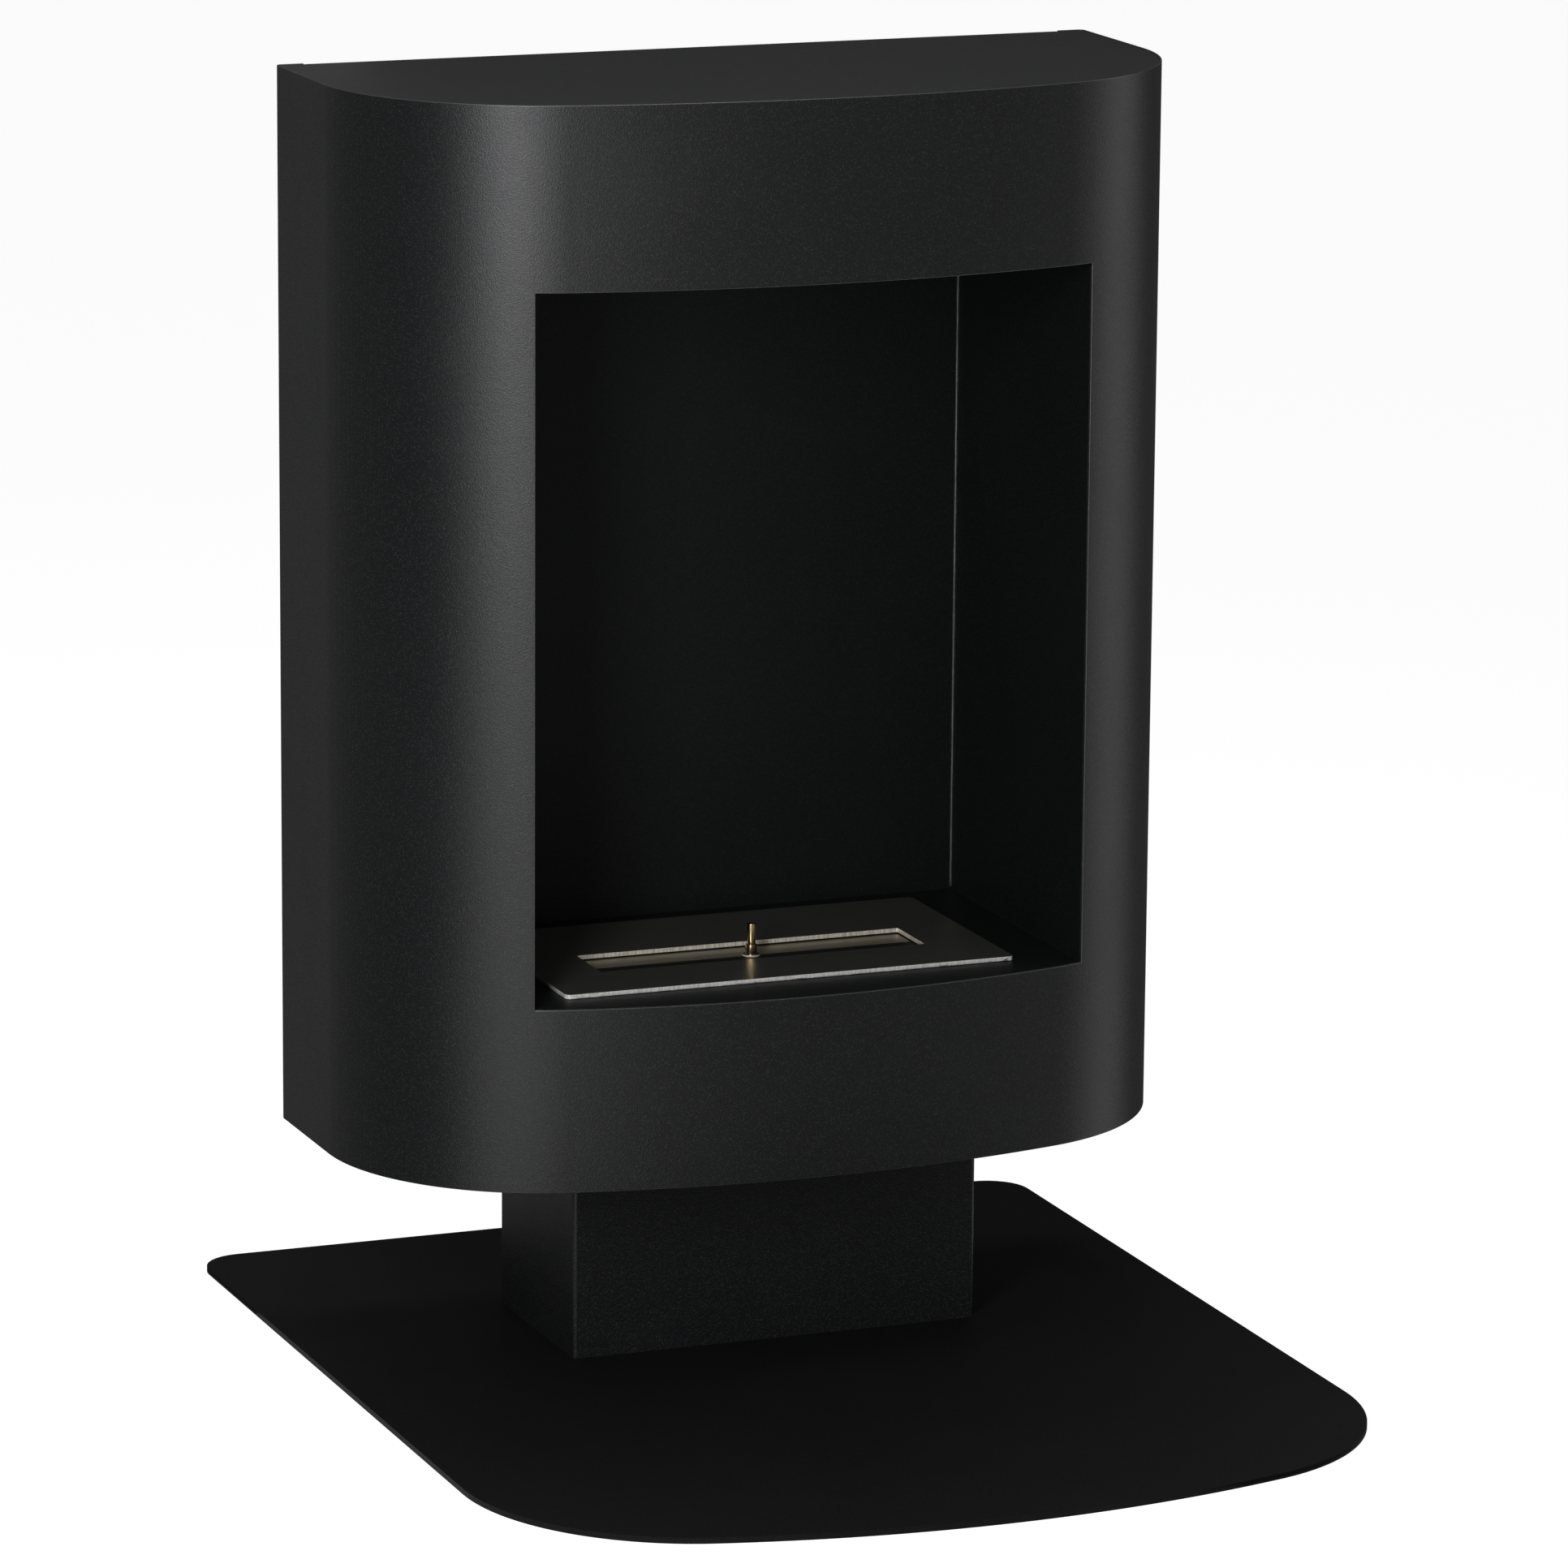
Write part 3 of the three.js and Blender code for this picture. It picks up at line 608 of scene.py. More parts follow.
def finish_coated(piece, node, width, surface=casing_coat, edge=casing_edge_highlight, segments=2):
    """Coats a piece, with the lighter edge coat (partly a painted highlight) on what is rounded, and puts
    it in its place.
    """
    coat(piece, surface, edge)
    soften(piece, width, segments=segments, edge_material=1)
    stand_for(piece, node)


print("edges sharper than", round(math.degrees(SHARP)), "degrees are rounded")

# %% [markdown]
# The casing and the floor plate share one kind of plan: straight back, straight sides, tight
# round front corners, and a shallow bow that runs smoothly into them. Drawn by hand, it is an
# upright edge pushed along the straights and spun round each arc's centre. The centres stay put
# when the plan is drawn in by an inset, and only the starting edge moves.

# %% Draw a bow-fronted plan
def bowed_moves(half, back, fold, corner, bow, corner_y, finer=1):
    """The pushes and turns that go round a plan clockwise, from the right end of its back."""
    corner_x = half - corner
    sweep = math.asin(corner_x / (bow - corner))
    bow_y = corner_y + (bow - corner) * math.cos(sweep)
    side = back - fold - corner_y
    fold_x, fold_y = half - fold, back - fold
    to_front = [
        ("turn", (fold_x, fold_y), math.pi / 2, 8 * finer),
        ("push", (0, -side), 4),
        ("turn", (corner_x, corner_y), math.pi / 2 - sweep, 40 * finer),
    ]
    to_back = [
        ("turn", (-corner_x, corner_y), math.pi / 2 - sweep, 40 * finer),
        ("push", (0, side), 4),
        ("turn", (-fold_x, fold_y), math.pi / 2, 8 * finer),
    ]
    return [*to_front, ("turn", (0, bow_y), 2 * sweep, 32 * finer), *to_back]


def walk(moves):
    """Draws the selected upright edge along the moves, in edit mode."""
    for kind, place, *rest in moves:
        if kind == "turn":
            angle, steps = rest
            bpy.ops.mesh.spin(steps=steps, angle=angle, center=(*place, 0), axis=(0, 0, 1))
        else:
            steps = rest[0]
            step = (place[0] / steps, place[1] / steps, 0)
            for _ in range(steps):
                bpy.ops.mesh.extrude_edges_move(TRANSFORM_OT_translate={"value": step})


print("a plan is five arcs and two straights")

# %% [markdown]
# A walk starts from one edge of a flat upright strip. The two plans are the casing's and the
# floor plate's. Their sizes come from the solids' boxes, and the radii were measured on them.

# %% Upright strip and the two plans
def upright_strip(name, x_low, x_high, y, z_low, z_high):
    """A flat upright face at a y, seen from the front."""
    bpy.ops.object.select_all(action="DESELECT")
    bpy.ops.mesh.primitive_plane_add(size=1, rotation=(math.pi / 2, 0, 0))
    piece = bpy.context.active_object
    piece.scale = (x_high - x_low, z_high - z_low, 1)
    piece.location = ((x_low + x_high) / 2, y, (z_low + z_high) / 2)
    return settle(name)


shell_low, shell_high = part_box("casing_shell")
CASING = {"half": shell_high.x, "back": shell_high.y, "fold": 4 * MM, "corner": 156 * MM, "bow": 791 * MM}
panel_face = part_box("back_panel")[1].y
CASING["corner_y"] = panel_face - 105 * MM
plate_low, plate_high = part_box("floor_plate")
PLATE = {"half": plate_high.x, "back": plate_high.y, "fold": 31 * MM, "corner": 160 * MM, "bow": 767 * MM}
reach = PLATE["bow"] - PLATE["corner"]
sweep = math.asin((PLATE["half"] - PLATE["corner"]) / reach)
PLATE["corner_y"] = plate_low.y + PLATE["bow"] - reach * math.cos(sweep)
print("corners turn about y", round(CASING["corner_y"], 4), "and y", round(PLATE["corner_y"], 4))

# %% [markdown]
# The casing shell is the showpiece: one 1.5 mm sheet wrapped from back fold to back fold, with
# the window cut through it. It starts as the short flat return at the right back edge, whose
# outer edge walks all the way round. Two upright and two level cuts then mark the window, and its
# faces are deleted while the sheet is still a skin, which leaves clean edges.

# %% Casing shell: the skin and its window
WINDOW_HALF = 201 * MM
WINDOW_LOW, WINDOW_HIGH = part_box("firebox_left")[0].z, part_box("firebox_left")[1].z
RETURN = 20 * MM
return_end, return_start = CASING["half"] - RETURN, CASING["half"] - CASING["fold"]
shell = upright_strip("shell", return_end, return_start, CASING["back"], shell_low.z, shell_high.z)
edit(shell)
pick(shell, "EDGE", lambda edge: edge_at(edge, x=return_start))
walk(bowed_moves(**CASING, finer=3) + [("push", (RETURN - CASING["fold"], 0), 1)])
for place, normal in (
    ((WINDOW_HALF, 0, 0), (1, 0, 0)), ((-WINDOW_HALF, 0, 0), (1, 0, 0)),
    ((0, 0, WINDOW_LOW), (0, 0, 1)), ((0, 0, WINDOW_HIGH), (0, 0, 1)),
):
    pick_all()
    bpy.ops.mesh.bisect(plane_co=place, plane_no=normal)


def in_window(face):
    middle = face.calc_center_median()
    return abs(middle.x) < WINDOW_HALF and WINDOW_LOW < middle.z < WINDOW_HIGH and middle.y < 0.1


print("window faces:", pick(shell, "FACE", in_window))
delete_faces()
pick_all()
bpy.ops.mesh.remove_doubles(threshold=1e-6)
shell_faces = bmesh.from_edit_mesh(shell.data).faces
front_face = next(face for face in shell_faces if face.calc_center_median().y < -0.03)
if front_face.normal.y > 0:
    bpy.ops.mesh.flip_normals()
leave_edit()

# %% [markdown]
# The skin is the sheet's outer face, so its thickness goes inwards. Six of the back panel's eight
# screws go through the shell's two back folds. The edge of the window and the two rims are
# rounded most, since a powder coat gathers there.

# %% Casing shell: thickness, screw holes and coat
SHEET = 1.5 * MM
SCREW_HOLE, PLATE_SCREW_HOLE, BOLT_HOLE = 2.3 * MM, 3.3 * MM, 4.3 * MM


def middle_of(node):
    low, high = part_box(node)
    return (low + high) / 2


thicken(shell, SHEET)
screw_places = [middle_of(f"panel_screw_{number}") for number in range(1, 9)]
side_places = [place for place in screw_places if abs(place.x) > 0.1]
drill(shell, [(place.x, CASING["back"], place.z) for place in side_places], SCREW_HOLE, axis="Y")
finish_coated(shell, "casing_shell", 0.55 * MM, segments=3)

# %% [markdown]
# Flat sheets that fill a bowed plan are drawn the same way, from a strip as high as the sheet is
# thick. The walls are closed round, then filled above and below. The casing's top and bottom,
# the firebox's top and floor, and the floor plate all start like this.

# %% Flat bow-fronted sheets
FOLD_RADIUS = 1.5


def bowed_sheet(name, plan, inset, z_low, z_high):
    """A flat sheet that fills a plan drawn in by an inset."""
    end = plan["half"] - plan["fold"]
    sheet = upright_strip(name, -end, end, plan["back"] - inset, z_low, z_high)
    edit(sheet)
    pick(sheet, "EDGE", lambda edge: edge_at(edge, x=end))
    walk(bowed_moves(**plan))
    pick_all()
    bpy.ops.mesh.remove_doubles(threshold=2e-6)
    for z in (z_low, z_high):
        pick(sheet, "EDGE", lambda edge: edge.is_boundary and edge_at(edge, z=z))
        bpy.ops.mesh.edge_face_add()
    face_outwards()
    leave_edit()
    return sheet


def trim(sheet, place, normal, keep_all=False):
    """Cuts a sheet with a plane, and drops and closes the side that the normal points to."""
    edit(sheet)
    pick_all()
    bpy.ops.mesh.bisect(plane_co=place, plane_no=normal, clear_outer=not keep_all, use_fill=not keep_all)
    leave_edit()


def fold_back_edge(sheet, back, thick, depth, fold_edge_z, direction):
    """Folds a flange up (1) or down (-1) from the last strip of a flat sheet."""
    trim(sheet, (0, back - thick, 0), (0, 1, 0), keep_all=True)
    edit(sheet)

    def on_last_strip(face):
        return face.normal.z * direction > 0.9 and face.calc_center_median().y > back - thick

    pick(sheet, "FACE", on_last_strip)
    extrude_faces(z=direction * (depth - thick))
    pick(sheet, "EDGE", lambda edge: edge_at(edge, y=back, z=fold_edge_z))
    round_edges(FOLD_RADIUS * thick, 5)
    leave_edit()


print("a fold's outer radius is", FOLD_RADIUS, "times the sheet's thickness")

# %% [markdown]
# The casing's top is let in half a millimetre below the shell's rim, so the rim shows as a fine
# bright line with a dark one behind it. Its back edge reaches out between the shell's two back
# folds and turns down to take a screw. The bottom is the same sheet, a little thicker, with its
# lip turned up, so one helper makes both.

# %% Draw a casing cap
SEAM = 0.3 * MM
LIP = 15 * MM
CAP_HALF = CASING["half"] - RETURN - 2 * MM


def cap(node, thick, fold_edge_z, direction):
    """A sheet that closes the casing, with a lip folded up (1) or down (-1) at its back."""
    low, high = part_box(node)
    face_low = high.z - thick if direction < 0 else low.z
    piece = bowed_sheet(node, CASING, SHEET + SEAM, face_low, face_low + thick)
    for x in (-CAP_HALF, CAP_HALF):
        trim(piece, (x, 0, 0), (1, 0, 0), keep_all=True)
    edit(piece)
    pick(piece, "FACE", lambda face: face.normal.y > 0.9 and abs(face.calc_center_median().x) < CAP_HALF)
    extrude_faces(y=SHEET + SEAM)
    leave_edit()
    back = CASING["back"]
    trim(piece, (0, back - thick, 0), (0, 1, 0), keep_all=True)
    edit(piece)

    def under_lip(face):
        middle = face.calc_center_median()
        return face.normal.z * direction > 0.9 and middle.y > back - thick and abs(middle.x) < CAP_HALF

    pick(piece, "FACE", under_lip)
    extrude_faces(z=direction * (LIP - thick))
    pick(piece, "EDGE", lambda edge: edge_at(edge, y=back, z=fold_edge_z) and edge_along(edge, 0))
    round_edges(FOLD_RADIUS * thick, 5)
    leave_edit()
    return piece


print("a cap stands", SEAM / MM, "mm clear of the shell")

# %% [markdown]
# Each cap takes one screw at the middle of its lip. The bottom also has four holes for the bolts
# that go down into the plinth.

# %% Casing top and bottom
middle_heights = [place.z for place in screw_places if abs(place.x) < 0.1]
top = cap("casing_top", SHEET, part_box("casing_top")[1].z, -1)
drill(top, [(0, CASING["back"], max(middle_heights))], SCREW_HOLE, axis="Y", length=20 * MM)
finish_coated(top, "casing_top", 0.25 * MM)

bottom_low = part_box("casing_bottom")[0].z
bottom = cap("casing_bottom", 2 * MM, bottom_low, 1)
bolt_places = [middle_of(f"casing_bolt_{number}") for number in range(1, 5)]
drill(bottom, [(0, CASING["back"], min(middle_heights))], SCREW_HOLE, axis="Y", length=20 * MM)
drill(bottom, [(place.x, place.y, bottom_low) for place in bolt_places], BOLT_HOLE)
finish_coated(bottom, "casing_bottom", 0.25 * MM)

# %% [markdown]
# The back panel is a plain sheet with rounded corners that closes the casing. It only needs its
# corners, its screw holes and softened edges.

# %% Back panel
panel = box_piece("panel", *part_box("back_panel"), rounded=3 * MM, along=1)
drill(panel, [(place.x, panel_face, place.z) for place in screw_places], SCREW_HOLE, axis="Y")
finish_coated(panel, "back_panel", 0.3 * MM)

# %% [markdown]
# The firebox side walls are folded sheets. Each is a flat wall with a flange turned outwards at
# its back and another that lies against the inside of the bowed shell. The two bends are beveled
# while the sheet is still one skin thick. The bend at the back meets the weld seam, whose painted
# highlight shows as a thin bright line in the firebox corner.

# %% Firebox right wall
FIREBOX_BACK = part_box("firebox_back")[0].y
LINER_HALF = WINDOW_HALF + 12 * MM
LINER_ROUND = 0.2 * MM


def shell_inside_at(x):
    """The y of the shell's inner face, less the seam, at a place out past the bow."""
    inner = CASING["corner"] - SHEET - SEAM
    return CASING["corner_y"] - math.sqrt(inner**2 - (x - CASING["half"] + CASING["corner"]) ** 2)


wall_front, flange_front = shell_inside_at(WINDOW_HALF), shell_inside_at(LINER_HALF)
wall = upright_strip("wall", WINDOW_HALF, LINER_HALF, FIREBOX_BACK, WINDOW_LOW, WINDOW_HIGH)
edit(wall)
pick(wall, "EDGE", lambda edge: edge_at(edge, x=WINDOW_HALF))
walk([
    ("push", (0, wall_front - FIREBOX_BACK), 1),
    ("push", (LINER_HALF - WINDOW_HALF, flange_front - wall_front), 1),
])
pick(wall, "EDGE", lambda edge: edge_at(edge, x=WINDOW_HALF, y=FIREBOX_BACK))
round_edges(FOLD_RADIUS * SHEET, 6)
pick(wall, "EDGE", lambda edge: edge_at(edge, x=WINDOW_HALF, y=wall_front))
round_edges(3.4 * MM, 6)
wall_faces = bmesh.from_edit_mesh(wall.data).faces
flat_face = next(face for face in wall_faces if near(face.calc_center_median().x, WINDOW_HALF))
if flat_face.normal.x > 0:
    pick_all()
    bpy.ops.mesh.flip_normals()
leave_edit()
thicken(wall, SHEET)
print("right wall:", len(wall.data.polygons), "faces")

# %% [markdown]
# The left wall is a mirrored copy. A negative scale turns a mesh inside out, so the copy's
# normals are worked out again.

# %% Firebox left wall, and both coats
only(wall)
bpy.ops.object.duplicate()
bpy.context.active_object.scale = (-1, 1, 1)
left_wall = settle("left_wall")
edit(left_wall)
face_outwards()
leave_edit()
finish_coated(wall, "firebox_right", LINER_ROUND, firebox_shaded_coat)
finish_coated(left_wall, "firebox_left", LINER_ROUND, firebox_shaded_coat)

# %% [markdown]
# The firebox's top and floor follow the bowed shell at the front and turn a flange along the
# back. The floor has a large cut-out that the fuel tray drops through, with room to lie a little
# off the middle. The back is a flat sheet.

# %% Firebox top, floor and back
def liner_sheet(node, z_low, fold_edge_z, direction):
    """A level firebox sheet, with a flange folded up (1) or down (-1) at its back."""
    piece = bowed_sheet(node, CASING, SHEET + SEAM, z_low, z_low + SHEET)
    trim(piece, (LINER_HALF, 0, 0), (1, 0, 0))
    trim(piece, (-LINER_HALF, 0, 0), (-1, 0, 0))
    trim(piece, (0, FIREBOX_BACK, 0), (0, 1, 0))
    fold_back_edge(piece, FIREBOX_BACK, SHEET, 12 * MM, fold_edge_z, direction)
    return piece


hood = liner_sheet("firebox_top", WINDOW_HIGH, WINDOW_HIGH, 1)
finish_coated(hood, "firebox_top", LINER_ROUND, firebox_shaded_coat)

TRAY_PLAY = 8 * MM
tray_low, tray_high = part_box("burner_tray")
hearth = liner_sheet("firebox_floor", WINDOW_LOW - SHEET, WINDOW_LOW, -1)
cut_half = (tray_high.x - tray_low.x) / 2 + TRAY_PLAY
cut_low = (-cut_half, tray_low.y - TRAY_PLAY, WINDOW_LOW - 5 * MM)
cut_high = (cut_half, tray_high.y + TRAY_PLAY, WINDOW_LOW + 5 * MM)
take_away(hearth, box_piece("cutter", cut_low, cut_high, rounded=16 * MM))
finish_coated(hearth, "firebox_floor", LINER_ROUND, firebox_shaded_coat)

back_sheet = box_piece("back_sheet", *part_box("firebox_back"))
coat(back_sheet, firebox_shaded_coat, casing_edge_highlight)
soften(back_sheet, LINER_ROUND, edge_material=1)

# %% [markdown]
# The back sheet is welded to the side walls from inside. Each seam is a thin uneven bead that
# fills the groove behind the wall's bend, and its round face catches the key lamp as a fine
# bright line. A bar is divided along its length, shaken a little, and joined to the sheet.

# %% Weld seams in the firebox corners
BEAD_RADIUS = 1.0 * MM
bead_length = WINDOW_HIGH - WINDOW_LOW - 1 * MM
for side in (-1, 1):
    middle = (side * (WINDOW_HALF - 0.3 * MM), FIREBOX_BACK - 0.4 * MM, (WINDOW_LOW + WINDOW_HIGH) / 2)
    seam = round_bar("seam", middle, BEAD_RADIUS, bead_length, sides=16)
    edit(seam)
    pick(seam, "EDGE", lambda edge: edge_along(edge, 2))
    bpy.ops.mesh.subdivide(number_cuts=240)
    pick_all()
    bpy.ops.transform.vertex_random(offset=0.22 * MM, uniform=1.0, normal=0.0, seed=4)
    bpy.ops.mesh.vertices_smooth(factor=0.5, repeat=1)
    leave_edit()
    only(seam)
    bpy.ops.object.shade_smooth()
    # The bead's light coat is a painted highlight that strengthens its bright line.
    coat(seam, weld_highlight_coat)
    only(back_sheet)
    seam.select_set(True)
    bpy.ops.object.join()
print("back sheet with its seams:", len(back_sheet.data.polygons), "faces")
stand_for(back_sheet, "firebox_back")

# %% [markdown]
# The plinth is a folded rectangular tube whose ends are turned in as flanges round open mouths.
# A block with four rounded folds is hollowed by a smaller block, which leaves the sheet, and a
# third block is pushed right through for the two mouths.

# %% Plinth
PLINTH_SHEET, MOUTH_RIM = 2 * MM, 25 * MM
plinth_low, plinth_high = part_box("plinth_shell")
plinth = box_piece("plinth", plinth_low, plinth_high, rounded=3 * MM)
sheet_in = Vector((PLINTH_SHEET, PLINTH_SHEET, PLINTH_SHEET))
mouth_in = Vector((MOUTH_RIM, MOUTH_RIM, -10 * MM))
for inset, radius, segments in ((sheet_in, 1 * MM, 4), (mouth_in, 2 * MM, 3)):
    cutter = box_piece("cutter", plinth_low + inset, plinth_high - inset, radius, segments=segments)
    take_away(plinth, cutter)
drill(plinth, [(place.x, place.y, plinth_low.z) for place in bolt_places], PLATE_SCREW_HOLE)
drill(plinth, [(place.x, place.y, plinth_high.z) for place in bolt_places], BOLT_HOLE)
finish_coated(plinth, "plinth_shell", 0.4 * MM, segments=3)

# %% [markdown]
# The floor plate is thick enough to show a real edge, so its edge gets a wider, rounder bevel
# than the thin sheets. Four countersunk holes underneath take the plinth's screws.

# %% Floor plate
plate = bowed_sheet("plate", PLATE, 0, plate_low.z, plate_high.z)
for place in bolt_places:
    bpy.ops.object.select_all(action="DESELECT")
    bpy.ops.mesh.primitive_cone_add(
        vertices=32, radius1=2 * PLATE_SCREW_HOLE, radius2=PLATE_SCREW_HOLE, depth=3.6 * MM,
        location=(place.x, place.y, 1.5 * MM),
    )
    take_away(plate, settle("cutter"))
drill(plate, [(place.x, place.y, 4 * MM) for place in bolt_places], PLATE_SCREW_HOLE)
finish_coated(plate, "floor_plate", 0.5 * MM, plate_coat, plate_edge_highlight, segments=3)

# %% [markdown]
# The burner plate is 3 mm polished steel. Its slot is half a millimetre larger all round than
# the lid. It has four finishes: the face, its softened edge, its cut outline and its cut slot.

# %% Burner plate
burner_low, burner_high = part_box("burner_plate")
lid_low, lid_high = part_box("lid_plate")
LID_GAP = 0.5 * MM
slot_low = Vector((lid_low.x - LID_GAP, lid_low.y - LID_GAP, burner_low.z - 5 * MM))
slot_high = Vector((lid_high.x + LID_GAP, lid_high.y + LID_GAP, burner_high.z + 5 * MM))
burner = box_piece("burner", burner_low, burner_high, rounded=4 * MM)
take_away(burner, box_piece("cutter", slot_low, slot_high, rounded=1.5 * MM))
coat(burner, polished, polished, cut_steel, slot_steel)
soften(burner, 0.2 * MM, edge_material=1)
print("burner plate with its slot:", len(burner.data.polygons), "faces")

# %% [markdown]
# Slot and outline were cut by plasma, which leaves a ragged lower rim. The long lower edges are
# divided finely. Along the front, corners picked at random are lifted, the first ones with their
# neighbours, so small bites lie on longer ones.

# %% Ragged rim of the burner plate
BITES = ((0.06, 2, 0.9 * MM, 3), (0.10, 1, 0.7 * MM, 8), (0.35, 0, 0.5 * MM, 5))


def in_slot(place):
    """True within a millimetre of the slot, seen from above."""
    across = slot_low.x - MM < place.x < slot_high.x + MM
    return across and slot_low.y - MM < place.y < slot_high.y + MM


def on_rim(edge):
    ends = [vert.co for vert in edge.verts]
    low = all(end.z < burner_low.z + 0.25 * MM for end in ends)
    straight = edge_along(edge, 0) or edge_along(edge, 1)
    return low and straight and edge.calc_length() > 0.1 and not any(in_slot(end) for end in ends)


def rim_corner(vert):
    inside_x = burner_low.x + 5 * MM < vert.co.x < burner_high.x - 5 * MM
    front = near(vert.co.y, burner_low.y, 0.1 * MM)
    return front and inside_x and vert.co.z < burner_low.z + 0.4 * MM


edit(burner)
print("rim edges:", pick(burner, "EDGE", on_rim))
bpy.ops.mesh.subdivide(number_cuts=180)
for share, growth, bite, seed in BITES:
    pick(burner, "VERT", rim_corner)
    bpy.ops.mesh.hide(unselected=True)
    bpy.ops.mesh.select_all(action="DESELECT")
    bpy.ops.mesh.select_random(ratio=share, seed=seed)
    for _ in range(growth):
        bpy.ops.mesh.select_more()
    move_selected(z=bite)
    bpy.ops.mesh.reveal(select=False)
leave_edit()

# %% [markdown]
# Plasma leaves the cut faces bright. They are the upright ones, and those of the slot get a
# slightly warmer steel, whose warmth is painted warm reflection.

# %% Cut faces of the burner plate
for face in burner.data.polygons:
    if abs(face.normal.z) < 0.6:
        face.material_index = 3 if in_slot(face.center) else 2
stand_for(burner, "burner_plate")

# %% [markdown]
# Under the slot hangs the seat: a flange, a short well and a ledge for the lid. It is drawn as
# one skin by insetting and extruding a flat face, and given its thickness downwards. The flame
# stands here, so it is black with soot, and its black is also painted shade of the gap under the
# plate.

# %% Lid seat
SEAT_FLANGE, SEAT_LEDGE = 12 * MM, 6 * MM
seat_low, seat_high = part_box("lid_seat")
seat = box_piece("seat", (seat_low.x, seat_low.y, seat_high.z - SHEET), seat_high)
edit(seat)
pick(seat, "FACE", lambda face: face.normal.z < 0.9)
delete_faces()
pick(seat, "FACE", lambda face: True)
inset_faces(SEAT_FLANGE)
extrude_faces(z=-(seat_high.z - seat_low.z - SHEET))
inset_faces(SEAT_LEDGE)
delete_faces()
leave_edit()
thicken(seat, SHEET)
edit(seat)


def seat_corner(edge):
    return edge_along(edge, 2) and (edge_at(edge, x=seat_low.x) or edge_at(edge, x=seat_high.x))


pick(seat, "EDGE", seat_corner)
round_edges(3 * MM, 4)
leave_edit()
# Black: soot, and painted shade of the gap under the plate.
coat(seat, soot_and_shade_steel)
soften(seat, 0.2 * MM)
stand_for(seat, "lid_seat")

# %% [markdown]
# The fuel tray is a deep pan: a rounded block without its top, with a small radius at the foot,
# given its thickness inwards.

# %% Fuel tray
tray = box_piece("tray", tray_low, tray_high, rounded=8 * MM, segments=8)
edit(tray)
pick(tray, "FACE", lambda face: face.normal.z > 0.9)
delete_faces()
pick(tray, "EDGE", lambda edge: edge_at(edge, z=tray_low.z))
round_edges(2.5 * MM, 5)
leave_edit()
thicken(tray, SHEET)
coat(tray, polished)
soften(tray, 0.2 * MM)
stand_for(tray, "burner_tray")

# %% [markdown]
# The absorbent pad is a soft block of pressed fibre. A plain block is divided into a fine grid,
# its corners are shaken a little at random, and then smoothed, which rounds the edges and leaves
# a gently lumpy surface.

# %% Absorbent pad
pad_low, pad_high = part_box("absorbent_pad")
shy = Vector((0.4 * MM, 0.4 * MM, 0.4 * MM))
pad = box_piece("pad", pad_low + shy, pad_high - shy)
edit(pad)
for axis, cuts in ((0, 63), (1, 31), (2, 9)):
    pick(pad, "EDGE", lambda edge: edge_along(edge, axis))
    bpy.ops.mesh.subdivide(number_cuts=cuts)
pick_all()
bpy.ops.transform.vertex_random(offset=1.1 * MM, uniform=1.0, normal=0.0, seed=5)
bpy.ops.mesh.vertices_smooth(factor=0.5, repeat=2)
leave_edit()
modify(pad, "SUBSURF", levels=1, render_levels=1)
only(pad)
bpy.ops.object.shade_smooth()
coat(pad, felt)
stand_for(pad, "absorbent_pad")

# %% [markdown]
# The lid is a plain strip with a hole for its handle pin. Its front half is painted black as
# shade, which shows as a dark line along the front of the slot under its rim. A cut divides the
# strip's faces there, and those of the front half get the painted shade.

# %% Lid
PAINTED_SHADE_DEPTH = 24 * MM
pin_low, pin_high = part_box("lid_pin")
pin_x, pin_y = (pin_low.x + pin_high.x) / 2, (pin_low.y + pin_high.y) / 2
lid = box_piece("lid", lid_low, lid_high, rounded=1 * MM, segments=4)
drill(lid, [(pin_x, pin_y, lid_high.z)], 3.3 * MM)
trim(lid, (0, lid_low.y + PAINTED_SHADE_DEPTH, 0), (0, 1, 0), keep_all=True)
coat(lid, lid_steel, soot_and_shade_steel)
soften(lid, 0.2 * MM)
for face in lid.data.polygons:
    face.material_index = 1 if face.center.y < lid_low.y + PAINTED_SHADE_DEPTH else 0
stand_for(lid, "lid_plate")

# %% [markdown]
# The pin is a bar with both ends chamfered round. It is polished, and shows the dark cloths and
# the lamp as upright stripes.

# %% Handle pin
PIN_RADIUS, PIN_CHAMFER = 3 * MM, 0.6 * MM
pin_middle = (pin_x, pin_y, (pin_low.z + pin_high.z) / 2)
pin = round_bar("pin", pin_middle, PIN_RADIUS, pin_high.z - pin_low.z, sides=48)
edit(pin)
pick(pin, "EDGE", lambda edge: edge_at(edge, z=pin_high.z) or edge_at(edge, z=pin_low.z))
round_edges(PIN_CHAMFER, 4)
leave_edit()
only(pin)
bpy.ops.object.shade_smooth_by_angle(angle=SHARP)
coat(pin, pin_steel)
stand_for(pin, "lid_pin")

# %% [markdown]
# The collar at the pin's foot is turned in one: a flat foot with a slim barrel drawn up from it,
# a little narrower at its top. The bore is made by bridging the two ends.

